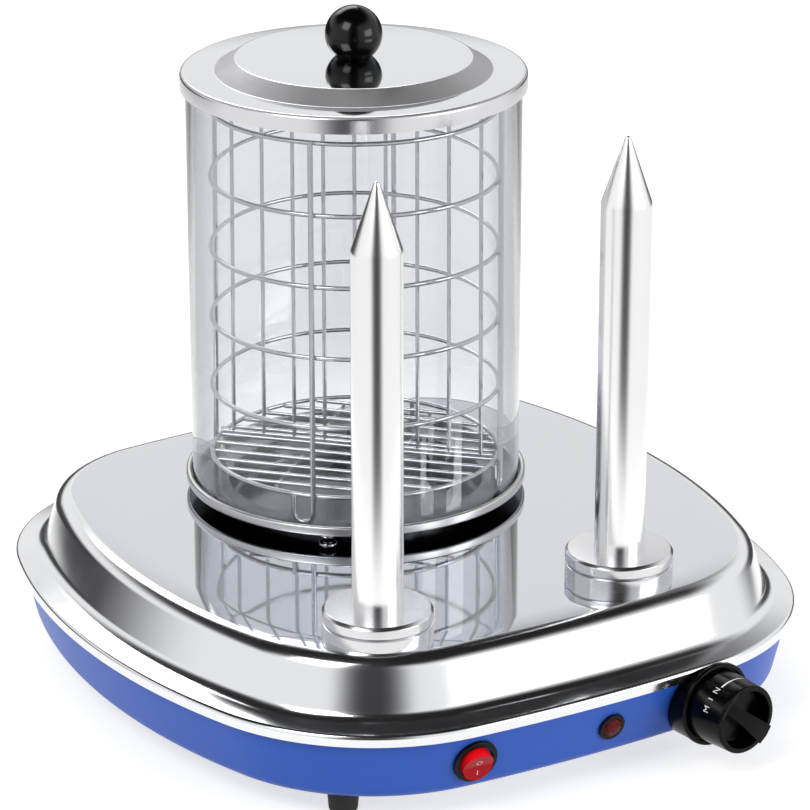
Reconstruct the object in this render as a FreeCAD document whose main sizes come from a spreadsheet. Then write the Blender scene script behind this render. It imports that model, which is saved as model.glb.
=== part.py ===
import FreeCAD, Part
import math
import os
import re

import Sketcher

# Hot dog toaster: a shallow enamelled housing under a pressed bright cover carries two heated
# bun spikes and, behind them, a water tray with a glass cylinder, a wire basket and a lid.
# X runs along the control face, the control face looks along -Y, and Z is up from the table.
# The glass axis is the reference line of the layout: every plan distance is taken from it.

V = FreeCAD.Vector
doc = FreeCAD.newDocument("HotDogToaster")

# Driving dimensions, in millimetres and degrees.
DRIVING = [
    # Levels above the table.
    ("foot_height", 12.0),
    ("plate_top", 80.0),
    # Plan outline of the cover: eight arcs about the glass axis.
    ("plan_half_width", 182.0),
    ("plan_front", 232.0),
    ("plan_back", 137.0),
    ("side_centre", 43.0),
    ("front_radius", 900.0),
    ("side_radius", 360.0),
    ("back_radius", 830.0),
    ("front_corner_radius", 108.0),
    ("back_corner_radius", 98.0),
    # Pressed cover.
    ("cover_sheet", 1.0),
    ("hem_height", 5.6),
    ("hem_drop", 35.3),
    ("hem_round", 2.2),
    ("flange_width", 14.5),
    ("flange_rise", 2.0),
    ("wall_lean", 17.5),
    ("wall_foot_round", 7.0),
    ("shoulder_round", 9.0),
    # Enamelled housing.
    ("housing_sheet", 1.2),
    ("hem_clearance", 1.3),
    ("seat_gap", 0.3),
    ("wall_drilling", 6.0),
    ("sheet_drilling", 3.0),
    ("housing_lean_angle", 13.0),
    ("housing_round", 12.0),
    ("bottom_opening_inset", 40.0),
    # Bottom plate, feet and the posts that carry the cover.
    ("bottom_sheet", 1.2),
    ("bottom_plate_inset", 21.0),
    ("vent_length", 46.0),
    ("vent_width", 4.0),
    ("vent_pitch", 12.0),
    ("foot_radius", 8.0),
    ("foot_tip_radius", 7.0),
    ("foot_inset", 26.0),
    ("foot_bearing", 41.0),
    ("foot_screw_radius", 1.9),
    ("foot_screw_head", 3.8),
    ("post_radius", 5.0),
    ("post_inset", 46.0),
    ("post_bearing", 61.0),
    ("post_screw_radius", 2.0),
    ("post_screw_head", 3.8),
    ("screw_head_height", 2.4),
    ("screw_clearance", 0.3),
    # Water tray.
    ("tray_rim_radius", 88.3),
    ("tray_rim_width", 2.7),
    ("tray_rim_height", 5.1),
    ("tray_rim_lift", 10.5),
    ("tray_sheet", 1.0),
    ("well_radius", 65.5),
    ("well_depth", 15.0),
    ("well_round", 4.0),
    ("well_clearance", 1.2),
    ("rivet_radius", 4.9),
    ("rivet_ring_radius", 77.0),
    ("rivet_turn", -41.0),
    # Heater under the tray and its bridge.
    ("heater_radius", 54.0),
    ("heater_thickness", 6.0),
    ("heater_tube_radius", 4.0),
    ("heater_tube_ring", 38.0),
    ("stud_radius", 3.0),
    ("bridge_width", 22.0),
    ("bridge_sheet", 2.0),
    ("bridge_reach", 80.0),
    # Bun spikes.
    ("spike_left_margin", 95.1),
    ("spike_right_margin", 130.4),
    ("spike_front", 168.5),
    ("spike_radius", 12.4),
    ("spike_top", 224.2),
    ("spike_cone", 33.0),
    ("spike_tip_radius", 1.1),
    ("spike_tip_round", 0.8),
    ("spike_shank_radius", 9.0),
    ("spike_shank_drop", 13.0),
    ("spike_bore_radius", 6.0),
    ("spike_bore_depth", 166.0),
    ("spike_base_radius", 26.7),
    ("spike_base_height", 12.7),
    ("spike_base_bevel", 1.4),
    ("spike_groove", 1.6),
    ("fit_clearance", 0.2),
    ("cartridge_length", 140.0),
    ("spike_nut_flats", 28.0),
    ("spike_nut_height", 6.0),
    # Glass cylinder.
    ("glass_radius", 85.0),
    ("glass_wall", 3.0),
    ("glass_height", 215.8),
    # Lid.
    ("lid_radius", 87.6),
    ("lid_sheet", 1.2),
    ("lid_skirt", 8.4),
    ("lid_edge_round", 1.8),
    ("lid_step_radius", 70.0),
    ("lid_disc_radius", 60.0),
    ("lid_step_height", 6.5),
    ("knob_ball_radius", 14.5),
    ("knob_ball_centre", 11.5),
    ("lid_screw_radius", 2.0),
    ("lid_screw_depth", 12.0),
    ("lid_screw_head", 4.6),
    # Wire basket.
    ("ring_radius", 73.7),
    ("ring_wire", 1.2),
    ("basket_headroom", 30.8),
    ("ring_lift", 15.2),
    ("upright_wire", 1.4),
    ("foot_spread", 10.0),
    ("basket_angle", 46.5),
    ("floor_wire", 1.1),
    ("floor_pitch", 12.0),
    ("divider_wire", 1.05),
    ("divider_pitch", 16.6),
    ("weld_gap", 0.05),
    # Controls on the front of the housing.
    ("control_height", 29.0),
    ("switch_margin", 116.0),
    ("lamp_place", 10.0),
    ("knob_margin", 116.5),
    ("knob_height", 30.3),
    ("bezel_radius", 11.5),
    ("bezel_height", 2.0),
    ("switch_body_radius", 10.0),
    ("switch_body_depth", 16.0),
    ("rocker_well_radius", 8.9),
    ("rocker_well_depth", 9.0),
    ("rocker_radius", 8.0),
    ("rocker_rise", 3.4),
    ("rocker_dip", 1.6),
    ("rocker_tilt", 8.0),
    ("pivot_depth", 2.0),
    ("pivot_radius", 0.9),
    ("lamp_bezel_radius", 7.2),
    ("lamp_bezel_height", 1.8),
    ("lamp_body_radius", 5.9),
    ("lamp_body_depth", 14.0),
    ("lamp_lens_radius", 4.9),
    ("lamp_lens_rise", 1.2),
    ("bulb_radius", 2.2),
    ("bulb_length", 8.0),
    ("knob_yaw", 6.1),
    ("collar_stand", 2.0),
    ("collar_radius", 21.2),
    ("collar_height", 3.0),
    ("collar_edge_round", 1.2),
    ("collar_body_radius", 20.8),
    ("collar_headroom", 0.8),
    ("collar_neck_radius", 11.0),
    ("collar_neck_length", 16.0),
    ("collar_floor", 1.2),
    ("nut_recess", 3.0),
    ("dial_radius", 18.3),
    ("dial_front_radius", 17.4),
    ("dial_length", 22.4),
    ("dial_gap", 0.8),
    ("dial_recess_radius", 14.8),
    ("dial_recess_depth", 8.0),
    ("dial_face_thickness", 2.0),
    ("dial_edge_round", 1.0),
    ("grip_angle", -42.0),
    ("grip_root", 10.2),
    ("grip_tip", 4.4),
    ("grip_overhang", 0.7),
    ("grip_slope", 26.0),
    ("shaft_radius", 3.0),
    ("thermostat_radius", 12.5),
    ("thermostat_depth", 15.0),
    ("bushing_radius", 4.8),
    ("bushing_reach", 0.6),
    ("thermostat_nut_flats", 14.0),
    ("thermostat_nut_height", 2.4),
    # Mains inlet at the back.
    ("gland_margin", 112.0),
    ("gland_flange_radius", 8.5),
    ("gland_flange_height", 4.0),
    ("gland_radius", 6.2),
    ("gland_bore_radius", 3.6),
    ("gland_depth", 11.0),
    ("gland_nut_flats", 17.0),
    ("gland_nut_height", 4.0),
    ("terminal_length", 34.0),
    ("terminal_width", 18.0),
    ("terminal_height", 14.0),
]

sizes = doc.addObject("Spreadsheet::Sheet", "Sizes")
for row, (alias, value) in enumerate(DRIVING, start=1):
    sizes.set("A%d" % row, alias.replace("_", " "))
    sizes.set("B%d" % row, str(value))
    sizes.setAlias("B%d" % row, alias)
doc.recompute()

ALIASES = {alias for alias, value in DRIVING}
SUB_PARTS = []


def full(expression):
    """Writes the sheet's name before every size in an expression."""
    return re.sub(
        r"[a-z][a-z_]*",
        lambda word: "Sizes." + word.group() if word.group() in ALIASES else word.group(),
        str(expression),
    )


def number(expression):
    """The present value of an expression in the sheet's sizes."""
    return float(sizes.evalExpression(full(expression)))


def bind(item, prop, expression):
    """Ties a property of an object to an expression in the sheet's sizes."""
    item.setExpression(prop, full(expression))


# Expressions that several sub-parts share.
HEM_BOTTOM = "(plate_top - hem_drop)"
HEM_TOP = "(plate_top - hem_drop + hem_height)"
FLANGE_TOP = "(plate_top - hem_drop + hem_height + flange_rise)"
COVER_UNDER = "(plate_top - cover_sheet)"
WALL_TOP = "(plate_top - hem_drop + hem_height - cover_sheet - seat_gap)"
HOUSING_INSET = "(cover_sheet + hem_clearance)"
FLOOR_TOP = "(foot_height + housing_sheet)"
BOTTOM_TOP = "(foot_height + housing_sheet + bottom_sheet)"
LEDGE_TOP = "(plate_top + tray_rim_lift - tray_rim_height + tray_sheet)"
WELL_UNDER = "(plate_top + tray_rim_lift - tray_rim_height + tray_sheet - well_depth)"
HEATER_UNDER = "(plate_top + tray_rim_lift - tray_rim_height + tray_sheet - well_depth - heater_thickness)"
GLASS_FOOT = "(plate_top + tray_rim_lift - tray_rim_height + tray_sheet + seat_gap)"
LID_UNDER = "(" + GLASS_FOOT + " + glass_height + seat_gap)"
LID_TOP = "(" + LID_UNDER + " + lid_sheet)"
DISC_TOP = "(" + LID_TOP + " + lid_step_height)"
FIRST_RING = "(" + LEDGE_TOP + " + ring_lift)"
# The basket is as tall as the glass lets it be, whatever the glass height.
RING_PITCH = "((glass_height - basket_headroom) / 5)"
TOP_RING = "(" + FIRST_RING + " + glass_height - basket_headroom)"
BASE_TOP = "(plate_top + spike_base_height)"
# The controls, the inlet and the spikes keep their distance from the sides of the base.
SWITCH_X = "(switch_margin - plan_half_width)"
KNOB_X = "(plan_half_width - knob_margin)"
GLAND_X = "(gland_margin - plan_half_width)"
SPIKE_LEFT_X = "(spike_left_margin - plan_half_width)"
SPIKE_RIGHT_X = "(plan_half_width - spike_right_margin)"


def plan_centres():
    """Centres of the front, side, back and corner arcs of the plan outline, right-hand half."""
    front = (0.0, number("front_radius - plan_front"))
    side = (number("plan_half_width - side_radius"), -number("side_centre"))
    back = (0.0, number("plan_back - back_radius"))

    def corner(middle, reach, radius):
        # The corner circle touches both its neighbours from inside.
        run = (side[0] - middle[0], side[1] - middle[1])
        length = math.hypot(run[0], run[1])
        near = reach - radius
        far = number("side_radius") - radius
        along = (near**2 - far**2 + length**2) / (2 * length)
        off = math.sqrt(near**2 - along**2)
        found = []
        for sign in (1, -1):
            x = middle[0] + run[0] / length * along - run[1] / length * off * sign
            y = middle[1] + run[1] / length * along + run[0] / length * off * sign
            found.append((x, y))
        return max(found)

    front_corner = corner(front, number("front_radius"), number("front_corner_radius"))
    back_corner = corner(back, number("back_radius"), number("back_corner_radius"))
    return front, side, back, front_corner, back_corner


def mirrored(point):
    return (-point[0], point[1])


def bearing(start, end):
    return math.atan2(end[1] - start[1], end[0] - start[0])


def front_y(x, inset):
    """Y of the front arc of the plan outline, moved inwards by an inset."""
    radius = number("front_radius") - inset
    return number("front_radius - plan_front") - math.sqrt(radius**2 - x**2)


def back_y(x, inset):
    """Y of the back arc of the plan outline, moved inwards by an inset."""
    radius = number("back_radius") - inset
    return number("plan_back - back_radius") + math.sqrt(radius**2 - x**2)


def wall_inset(level):
    """How far the housing's leaning wall lies inside the cover's outline at a level."""
    drop = number(WALL_TOP) - level
    return number(HOUSING_INSET) + drop * math.tan(math.radians(number("housing_lean_angle")))


def facing(origin, yaw, lean=0.0):
    """Placement whose Z points out of the front wall, turned by yaw and leaning down."""
    yaw = math.radians(yaw)
    lean = math.radians(lean)
    out = V(math.sin(yaw) * math.cos(lean), -math.cos(yaw) * math.cos(lean), -math.sin(lean))
    across = V(math.cos(yaw), math.sin(yaw), 0)
    return FreeCAD.Placement(origin, FreeCAD.Rotation(across, out.cross(across), out, "ZXY"))


def on_front(x, height="control_height"):
    """Placement on the outside of the front wall at the height of a control."""
    level = number(height)
    inset = wall_inset(level)
    radius = number("front_radius") - inset
    turn = math.degrees(math.asin(x / radius))
    return facing(V(x, front_y(x, inset), level), turn, number("housing_lean_angle"))


def on_back(x):
    """Placement on the outside of the back wall at the height of the controls."""
    level = number("control_height")
    inset = wall_inset(level)
    radius = number("back_radius") - inset
    turn = math.degrees(math.asin(x / radius))
    return facing(V(x, back_y(x, inset), level), 180 - turn, number("housing_lean_angle"))


switch_seat = on_front(number(SWITCH_X))
lamp_seat = on_front(number("lamp_place"))
gland_seat = on_back(number(GLAND_X))

# The dial's collar stands before the hem: its seat is the back of the collar's wide flange.
knob_x = number(KNOB_X)
knob_y = front_y(knob_x, 0) - number("collar_stand")
knob_seat = facing(V(knob_x, knob_y, number("knob_height")), number("knob_yaw"))

# The box's middle lies on Y = 0: the dial's front rim reaches furthest forward, the hem back.
dial_out = knob_seat.Rotation.multVec(V(0, 0, 1))
dial_front = knob_seat.multVec(V(0, 0, number("collar_floor + dial_gap + dial_length")))
dial_reach = dial_front.y - number("dial_front_radius - dial_edge_round") * math.sqrt(1 - dial_out.y**2)
AXIS_Y = -(dial_reach + number("plan_back")) / 2
LAYOUT = FreeCAD.Placement(V(0, AXIS_Y, 0), FreeCAD.Rotation())


def sub_part(kind, name, placement=None):
    """Adds one sub-part, named by its label and placed from the glass axis."""
    item = doc.addObject(kind, name)
    item.Label = name
    item.Placement = LAYOUT if placement is None else LAYOUT.multiply(placement)
    SUB_PARTS.append(item)
    return item


def new_body(name, placement=None):
    return sub_part("PartDesign::Body", name, placement)


def origin_plane(body, role):
    return [item for item in body.Origin.OriginFeatures if item.Role == role][0]


def new_sketch(body, role, name, level=None):
    """Sketch on one of the body's own origin planes, lifted along its normal by a level."""
    sketch = body.newObject("Sketcher::SketchObject", body.Name + "_" + name)
    sketch.AttachmentSupport = [(origin_plane(body, role), "")]
    sketch.MapMode = "FlatFace"
    if level is not None:
        bind(sketch, "AttachmentOffset.Base.z", level)
    return sketch


def hold(sketch, kind, expression, *geometry):
    """Adds a dimension whose value is bound to an expression."""
    value = number(expression)
    place = sketch.addConstraint(Sketcher.Constraint(kind, *geometry, value))
    bind(sketch, "Constraints[%d]" % place, expression)


def polygon(sketch, corners):
    """Closed outline through corners, each a pair of expressions."""
    first = sketch.GeometryCount
    points = [V(number(x), number(y), 0) for x, y in corners]
    count = len(points)
    for index in range(count):
        sketch.addGeometry(Part.LineSegment(points[index], points[(index + 1) % count]))
    for index in range(count):
        after = first + (index + 1) % count
        sketch.addConstraint(Sketcher.Constraint("Coincident", first + index, 2, after, 1))
    for index, (x, y) in enumerate(corners):
        hold(sketch, "DistanceX", x, -1, 1, first + index, 1)
        hold(sketch, "DistanceY", y, -1, 1, first + index, 1)


def circle(sketch, radius, x="0", y="0"):
    """Circle of a bound radius about a bound centre."""
    middle = V(number(x), number(y), 0)
    place = sketch.addGeometry(Part.Circle(middle, V(0, 0, 1), number(radius)))
    hold(sketch, "Radius", radius, place)
    hold(sketch, "DistanceX", x, -1, 1, place, 3)
    hold(sketch, "DistanceY", y, -1, 1, place, 3)


def plan_outline(sketch, inset):
    """The eight tangent arcs of the plan outline, moved inwards by an inset."""
    front, side, back, front_corner, back_corner = plan_centres()
    arcs = [
        (front, "front_radius", mirrored(front_corner), front_corner),
        (front_corner, "front_corner_radius", front, side),
        (side, "side_radius", front_corner, back_corner),
        (back_corner, "back_corner_radius", side, back),
        (back, "back_radius", back_corner, mirrored(back_corner)),
        (mirrored(back_corner), "back_corner_radius", back, mirrored(side)),
        (mirrored(side), "side_radius", mirrored(back_corner), mirrored(front_corner)),
        (mirrored(front_corner), "front_corner_radius", mirrored(side), front),
    ]
    for centre, radius, before, after in arcs:
        # A corner arc ends on the lines from its neighbours' centres through its own.
        small = "corner" in radius
        start = bearing(before, centre) if small else bearing(centre, before)
        end = bearing(after, centre) if small else bearing(centre, after)
        if end < start:
            end += 2 * math.pi
        ring = Part.Circle(V(centre[0], centre[1], 0), V(0, 0, 1), number(radius) - number(inset))
        sketch.addGeometry(Part.ArcOfCircle(ring, start, end))
    for index in range(len(arcs)):
        after = (index + 1) % len(arcs)
        sketch.addConstraint(Sketcher.Constraint("Tangent", index, 2, after, 1))
    for index, (centre, radius, before, after) in enumerate(arcs):
        hold(sketch, "Radius", "%s - (%s)" % (radius, inset), index)
    for index, x, y in (
        (0, "0", "front_radius - plan_front"),
        (4, "0", "plan_back - back_radius"),
        (2, "plan_half_width - side_radius", "0 - side_centre"),
        (6, "side_radius - plan_half_width", "0 - side_centre"),
    ):
        hold(sketch, "DistanceX", x, -1, 1, index, 3)
        hold(sketch, "DistanceY", y, -1, 1, index, 3)


def grow(body, kind, sketch, length, reverse=False):
    """Pad or pocket of a bound length."""
    feature = body.newObject("PartDesign::" + kind, sketch.Name + "_" + kind.lower())
    feature.Profile = sketch
    bind(feature, "Length", length)
    feature.Reversed = reverse
    return feature


def turn(body, corners, name="profile", kind="Revolution"):
    """Revolves a profile in the X-Z plane about the body's Z axis."""
    sketch = new_sketch(body, "XZ_Plane", name)
    polygon(sketch, corners)
    feature = body.newObject("PartDesign::" + kind, body.Name + "_" + name + "_" + kind.lower())
    feature.Profile = sketch
    feature.ReferenceAxis = (sketch, ["V_Axis"])
    feature.Angle = 360
    return feature


def edges_where(feature, test):
    """Names of a feature's edges whose middle point passes a test."""
    doc.recompute()
    names = []
    for index, edge in enumerate(feature.Shape.Edges, start=1):
        middle = edge.valueAt((edge.FirstParameter + edge.LastParameter) / 2)
        if edge.Length > 1e-4 and test(edge, middle):
            names.append("Edge%d" % index)
    return names


def at_level(expression, reach=None, spread=0.05):
    """Test for edges at a level and, if given, at a distance from the Z axis."""
    level = number(expression)

    def test(edge, middle):
        low = edge.BoundBox.ZMin
        high = edge.BoundBox.ZMax
        flat = abs(low - level) < spread and abs(high - level) < spread
        if reach is None:
            return flat
        return flat and abs(math.hypot(middle.x, middle.y) - number(reach)) < spread

    return test


def soften(body, feature, kind, radius, test):
    """Fillet or chamfer of a bound size on the edges that pass a test."""
    names = edges_where(feature, test)
    if not names:
        raise RuntimeError("no edges to soften on " + body.Name)
    soft = body.newObject("PartDesign::" + kind, feature.Name + "_" + kind.lower())
    soft.Base = (feature, names)
    bind(soft, "Radius" if kind == "Fillet" else "Size", radius)
    return soft


def face_at(feature, level, up):
    """Name of a feature's flat face at a level that looks up or down."""
    doc.recompute()
    for index, face in enumerate(feature.Shape.Faces, start=1):
        box = face.BoundBox
        flat = box.ZLength < 0.01 and abs(box.ZMin - number(level)) < 0.05
        if flat and face.normalAt(0, 0).z * up > 0.9:
            return "Face%d" % index
    raise RuntimeError("no flat face on " + feature.Name)


def hollow(body, feature, face, sheet):
    """Turns a solid into a sheet shell that is open at one face."""
    shell = body.newObject("PartDesign::Thickness", body.Name + "_shell")
    shell.Base = (feature, [face])
    bind(shell, "Value", sheet)
    shell.Reversed = True
    shell.Mode = 0
    shell.Join = 0
    return shell


def drill(body, name, radius, placement, depth):
    """Round hole along a placement's Z axis, from depth inside to depth outside."""
    hole = body.newObject("PartDesign::SubtractiveCylinder", body.Name + "_" + name)
    bind(hole, "Radius", radius)
    hole.Height = 2 * depth
    hole.Placement = placement.multiply(FreeCAD.Placement(V(0, 0, -depth), FreeCAD.Rotation()))
    return hole


def corner_point(inset, bearing_name, sign_x, front):
    """Point inside a corner of the plan outline at an inset, on a bearing from the corner's centre."""
    centres = plan_centres()
    centre = centres[3] if front else centres[4]
    radius = number("front_corner_radius" if front else "back_corner_radius") - inset
    angle = math.radians(number(bearing_name))
    sign_y = -1 if front else 1
    return (
        sign_x * (centre[0] + radius * math.sin(angle)),
        centre[1] + sign_y * radius * math.cos(angle),
    )


CORNERS = [(-1, True), (1, True), (1, False), (-1, False)]
foot_places = [corner_point(number("foot_inset"), "foot_bearing", sign, front) for sign, front in CORNERS]
post_places = [corner_point(number("post_inset"), "post_bearing", sign, front) for sign, front in CORNERS]
spike_places = {
    "left": V(number(SPIKE_LEFT_X), -number("spike_front"), 0),
    "right": V(number(SPIKE_RIGHT_X), -number("spike_front"), 0),
}


def at(x, y, z=0.0):
    return FreeCAD.Placement(V(x, y, z), FreeCAD.Rotation())


def copies(name, source, places):
    """One sub-part of several equal solids, each a placed copy of a source object."""
    doc.recompute()
    group = sub_part("Part::Compound", name)
    links = []
    for index, (x, y) in enumerate(places, start=1):
        link = doc.addObject("Part::Feature", "%s_%d" % (name, index))
        link.Shape = source.Shape.copy()
        link.Placement = at(x, y).multiply(source.Placement)
        links.append(link)
    group.Links = links
    return group


def helper_body(name):
    """Body that only serves as the source of a group of copies."""
    return doc.addObject("PartDesign::Body", name)


def drill_screw_holes(body, kind, places, level):
    """A clearance hole for a screw at each place, through a sheet at a level."""
    bore = kind + "_screw_radius + screw_clearance"
    depth = number("sheet_drilling")
    for index, (x, y) in enumerate(places, start=1):
        drill(body, "%s_hole_%d" % (kind, index), bore, at(x, y, number(level)), depth)


def make_cover():
    """Pressed bright cover: hem, sloping flange, leaning wall and a flat top with holes."""
    body = new_body("top_cover")
    hem = new_sketch(body, "XY_Plane", "hem", HEM_BOTTOM)
    plan_outline(hem, "0")
    grow(body, "Pad", hem, "hem_height")
    flange = new_sketch(body, "XY_Plane", "flange", HEM_TOP)
    plan_outline(flange, "0")
    slope = grow(body, "Pad", flange, "flange_rise")
    bind(slope, "TaperAngle", "-atan(flange_width / flange_rise)")
    wall = new_sketch(body, "XY_Plane", "wall", FLANGE_TOP)
    plan_outline(wall, "flange_width")
    rise = grow(body, "Pad", wall, "plate_top - " + FLANGE_TOP)
    bind(rise, "TaperAngle", "0 - wall_lean")
    edge = soften(body, rise, "Fillet", "hem_round", at_level(HEM_TOP))
    foot = soften(body, edge, "Fillet", "wall_foot_round", at_level(FLANGE_TOP))
    shoulder = soften(body, foot, "Fillet", "shoulder_round", at_level("plate_top"))
    hollow(body, shoulder, face_at(shoulder, HEM_BOTTOM, -1), "cover_sheet")
    well = new_sketch(body, "XY_Plane", "well_hole", "plate_top + 1")
    circle(well, "well_radius + tray_sheet + well_clearance")
    grow(body, "Pocket", well, "cover_sheet + 2")
    for side, place in spike_places.items():
        seat = at(place.x, place.y, number("plate_top"))
        depth = number("sheet_drilling")
        drill(body, "hole_" + side, "spike_shank_radius + fit_clearance", seat, depth)


def make_housing():
    """Enamelled housing shell with a leaning wall, a rounded turn-in and a bottom flange."""
    body = new_body("base_housing")
    top = new_sketch(body, "XY_Plane", "rim", WALL_TOP)
    plan_outline(top, HOUSING_INSET)
    block = grow(body, "Pad", top, WALL_TOP + " - foot_height", reverse=True)
    bind(block, "TaperAngle", "0 - housing_lean_angle")
    inside = new_sketch(body, "XY_Plane", "inside", WALL_TOP)
    plan_outline(inside, HOUSING_INSET + " + housing_sheet")
    room = grow(body, "Pocket", inside, WALL_TOP + " - " + FLOOR_TOP)
    bind(room, "TaperAngle", "0 - housing_lean_angle")
    # The inner rounding comes first, so that the wall never thins to nothing at the turn-in.
    inner_round = soften(body, room, "Fillet", "housing_round - housing_sheet", at_level(FLOOR_TOP))
    soften(body, inner_round, "Fillet", "housing_round", at_level("foot_height"))
    opening = new_sketch(body, "XY_Plane", "opening", "foot_height - 1")
    plan_outline(opening, "bottom_opening_inset")
    grow(body, "Pocket", opening, "housing_sheet + 2", reverse=True)
    drill(body, "switch_hole", "switch_body_radius + fit_clearance", switch_seat, number("wall_drilling"))
    drill(body, "lamp_hole", "lamp_body_radius + fit_clearance", lamp_seat, number("wall_drilling"))
    drill(body, "dial_hole", "collar_neck_radius + fit_clearance", knob_seat, number("collar_neck_length"))
    drill(body, "gland_hole", "gland_radius + fit_clearance", gland_seat, number("wall_drilling"))
    drill_screw_holes(body, "foot", foot_places, "foot_height")


def make_bottom_plate():
    """Flat plate on the housing's flange, with two rows of vent slots."""
    body = new_body("bottom_plate")
    sheet = new_sketch(body, "XY_Plane", "sheet", FLOOR_TOP)
    plan_outline(sheet, "bottom_plate_inset")
    grow(body, "Pad", sheet, "bottom_sheet")
    slots = new_sketch(body, "XY_Plane", "vents", BOTTOM_TOP + " + 1")
    for column in (-1, 1):
        for row in range(-3, 4):
            x = "%d * (vent_length + vent_pitch) / 2" % column
            y = "%d * vent_pitch - side_centre" % row
            polygon(
                slots,
                [
                    (x + " - vent_length / 2", y + " - vent_width / 2"),
                    (x + " + vent_length / 2", y + " - vent_width / 2"),
                    (x + " + vent_length / 2", y + " + vent_width / 2"),
                    (x + " - vent_length / 2", y + " + vent_width / 2"),
                ],
            )
    grow(body, "Pocket", slots, "bottom_sheet + 2")
    drill_screw_holes(body, "foot", foot_places, FLOOR_TOP)
    drill_screw_holes(body, "post", post_places, FLOOR_TOP)


def make_feet():
    """Four rubber feet with recessed screws, and four posts that carry the cover."""
    foot = helper_body("foot_form")
    bore = "(foot_screw_radius + screw_clearance)"
    sink = "(foot_screw_head + screw_clearance)"
    turn(
        foot,
        [
            (bore, "foot_height"),
            ("foot_radius", "foot_height"),
            ("foot_tip_radius", "0"),
            (sink, "0"),
            (sink, "foot_height / 2"),
            (bore, "foot_height / 2"),
        ],
    )
    copies("rubber_feet", foot, foot_places)
    screw = helper_body("foot_screw_form")
    head = "(foot_height / 2 - screw_head_height)"
    turn(
        screw,
        [
            ("0", head),
            ("foot_screw_head", head),
            ("foot_screw_head", "foot_height / 2"),
            ("foot_screw_radius", "foot_height / 2"),
            ("foot_screw_radius", BOTTOM_TOP + " + foot_screw_head"),
            ("0", BOTTOM_TOP + " + foot_screw_head"),
        ],
    )
    copies("foot_screws", screw, foot_places)


def make_posts():
    """Posts between the bottom plate and the cover, and the screws that hold them."""
    post = helper_body("post_form")
    bore = "(post_screw_radius + fit_clearance)"
    turn(
        post,
        [
            (bore, BOTTOM_TOP),
            ("post_radius", BOTTOM_TOP),
            ("post_radius", COVER_UNDER),
            ("0", COVER_UNDER),
            ("0", BOTTOM_TOP + " + foot_height"),
            (bore, BOTTOM_TOP + " + foot_height"),
        ],
    )
    copies("cover_posts", post, post_places)
    screw = helper_body("post_screw_form")
    head = "(" + FLOOR_TOP + " - screw_head_height)"
    turn(
        screw,
        [
            ("0", head),
            ("post_screw_head", head),
            ("post_screw_head", FLOOR_TOP),
            ("post_screw_radius", FLOOR_TOP),
            ("post_screw_radius", BOTTOM_TOP + " + foot_height * 0.8"),
            ("0", BOTTOM_TOP + " + foot_height * 0.8"),
        ],
    )
    copies("post_screws", screw, post_places)


def make_tray():
    """Water tray: rolled rim, ledge for the glass, and a well that dips through the cover."""
    body = new_body("water_tray")
    top = "(plate_top + tray_rim_lift)"
    low = "(plate_top + tray_rim_lift - tray_rim_height)"
    inner = "(tray_rim_radius - tray_rim_width)"
    dish = turn(
        body,
        [
            ("0", WELL_UNDER),
            ("well_radius + tray_sheet", WELL_UNDER),
            ("well_radius + tray_sheet", low),
            ("tray_rim_radius", low),
            ("tray_rim_radius", top),
            (inner, top),
            (inner, LEDGE_TOP),
            ("well_radius", LEDGE_TOP),
            ("well_radius", WELL_UNDER + " + tray_sheet"),
            ("0", WELL_UNDER + " + tray_sheet"),
        ],
    )
    rim = soften(body, dish, "Fillet", "tray_rim_width * 0.45", at_level(top))
    skirt = soften(body, rim, "Fillet", "tray_rim_width * 0.45", at_level(low, "tray_rim_radius"))
    turn_in = at_level(WELL_UNDER, "well_radius + tray_sheet")
    under = soften(body, skirt, "Fillet", "well_round + tray_sheet", turn_in)
    soften(body, under, "Fillet", "well_round", at_level(WELL_UNDER + " + tray_sheet", "well_radius"))
    stud = new_sketch(body, "XY_Plane", "stud", WELL_UNDER)
    circle(stud, "stud_radius")
    grow(body, "Pad", stud, "heater_thickness + bridge_sheet + stud_radius * 3", reverse=True)


def make_tray_rivets():
    """Three round-headed rivet feet that hold the tray's ledge above the cover."""
    rivet = helper_body("rivet_form")
    low = "plate_top"
    high = "(plate_top + tray_rim_lift - tray_rim_height)"
    body = turn(
        rivet,
        [
            ("0", low),
            ("rivet_radius * 0.82", low),
            ("rivet_radius", low + " + rivet_radius * 0.25"),
            ("rivet_radius", low + " + rivet_radius * 0.5"),
            ("rivet_radius * 0.82", low + " + rivet_radius * 0.72"),
            ("rivet_radius * 0.5", low + " + rivet_radius * 0.72"),
            ("rivet_radius * 0.5", high),
            ("0", high),
        ],
    )
    places = []
    reach = number("rivet_ring_radius")
    for step in range(3):
        angle = math.radians(number("rivet_turn") + 120 * step)
        places.append((reach * math.sin(angle), -reach * math.cos(angle)))
    copies("tray_feet", rivet, places)


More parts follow.
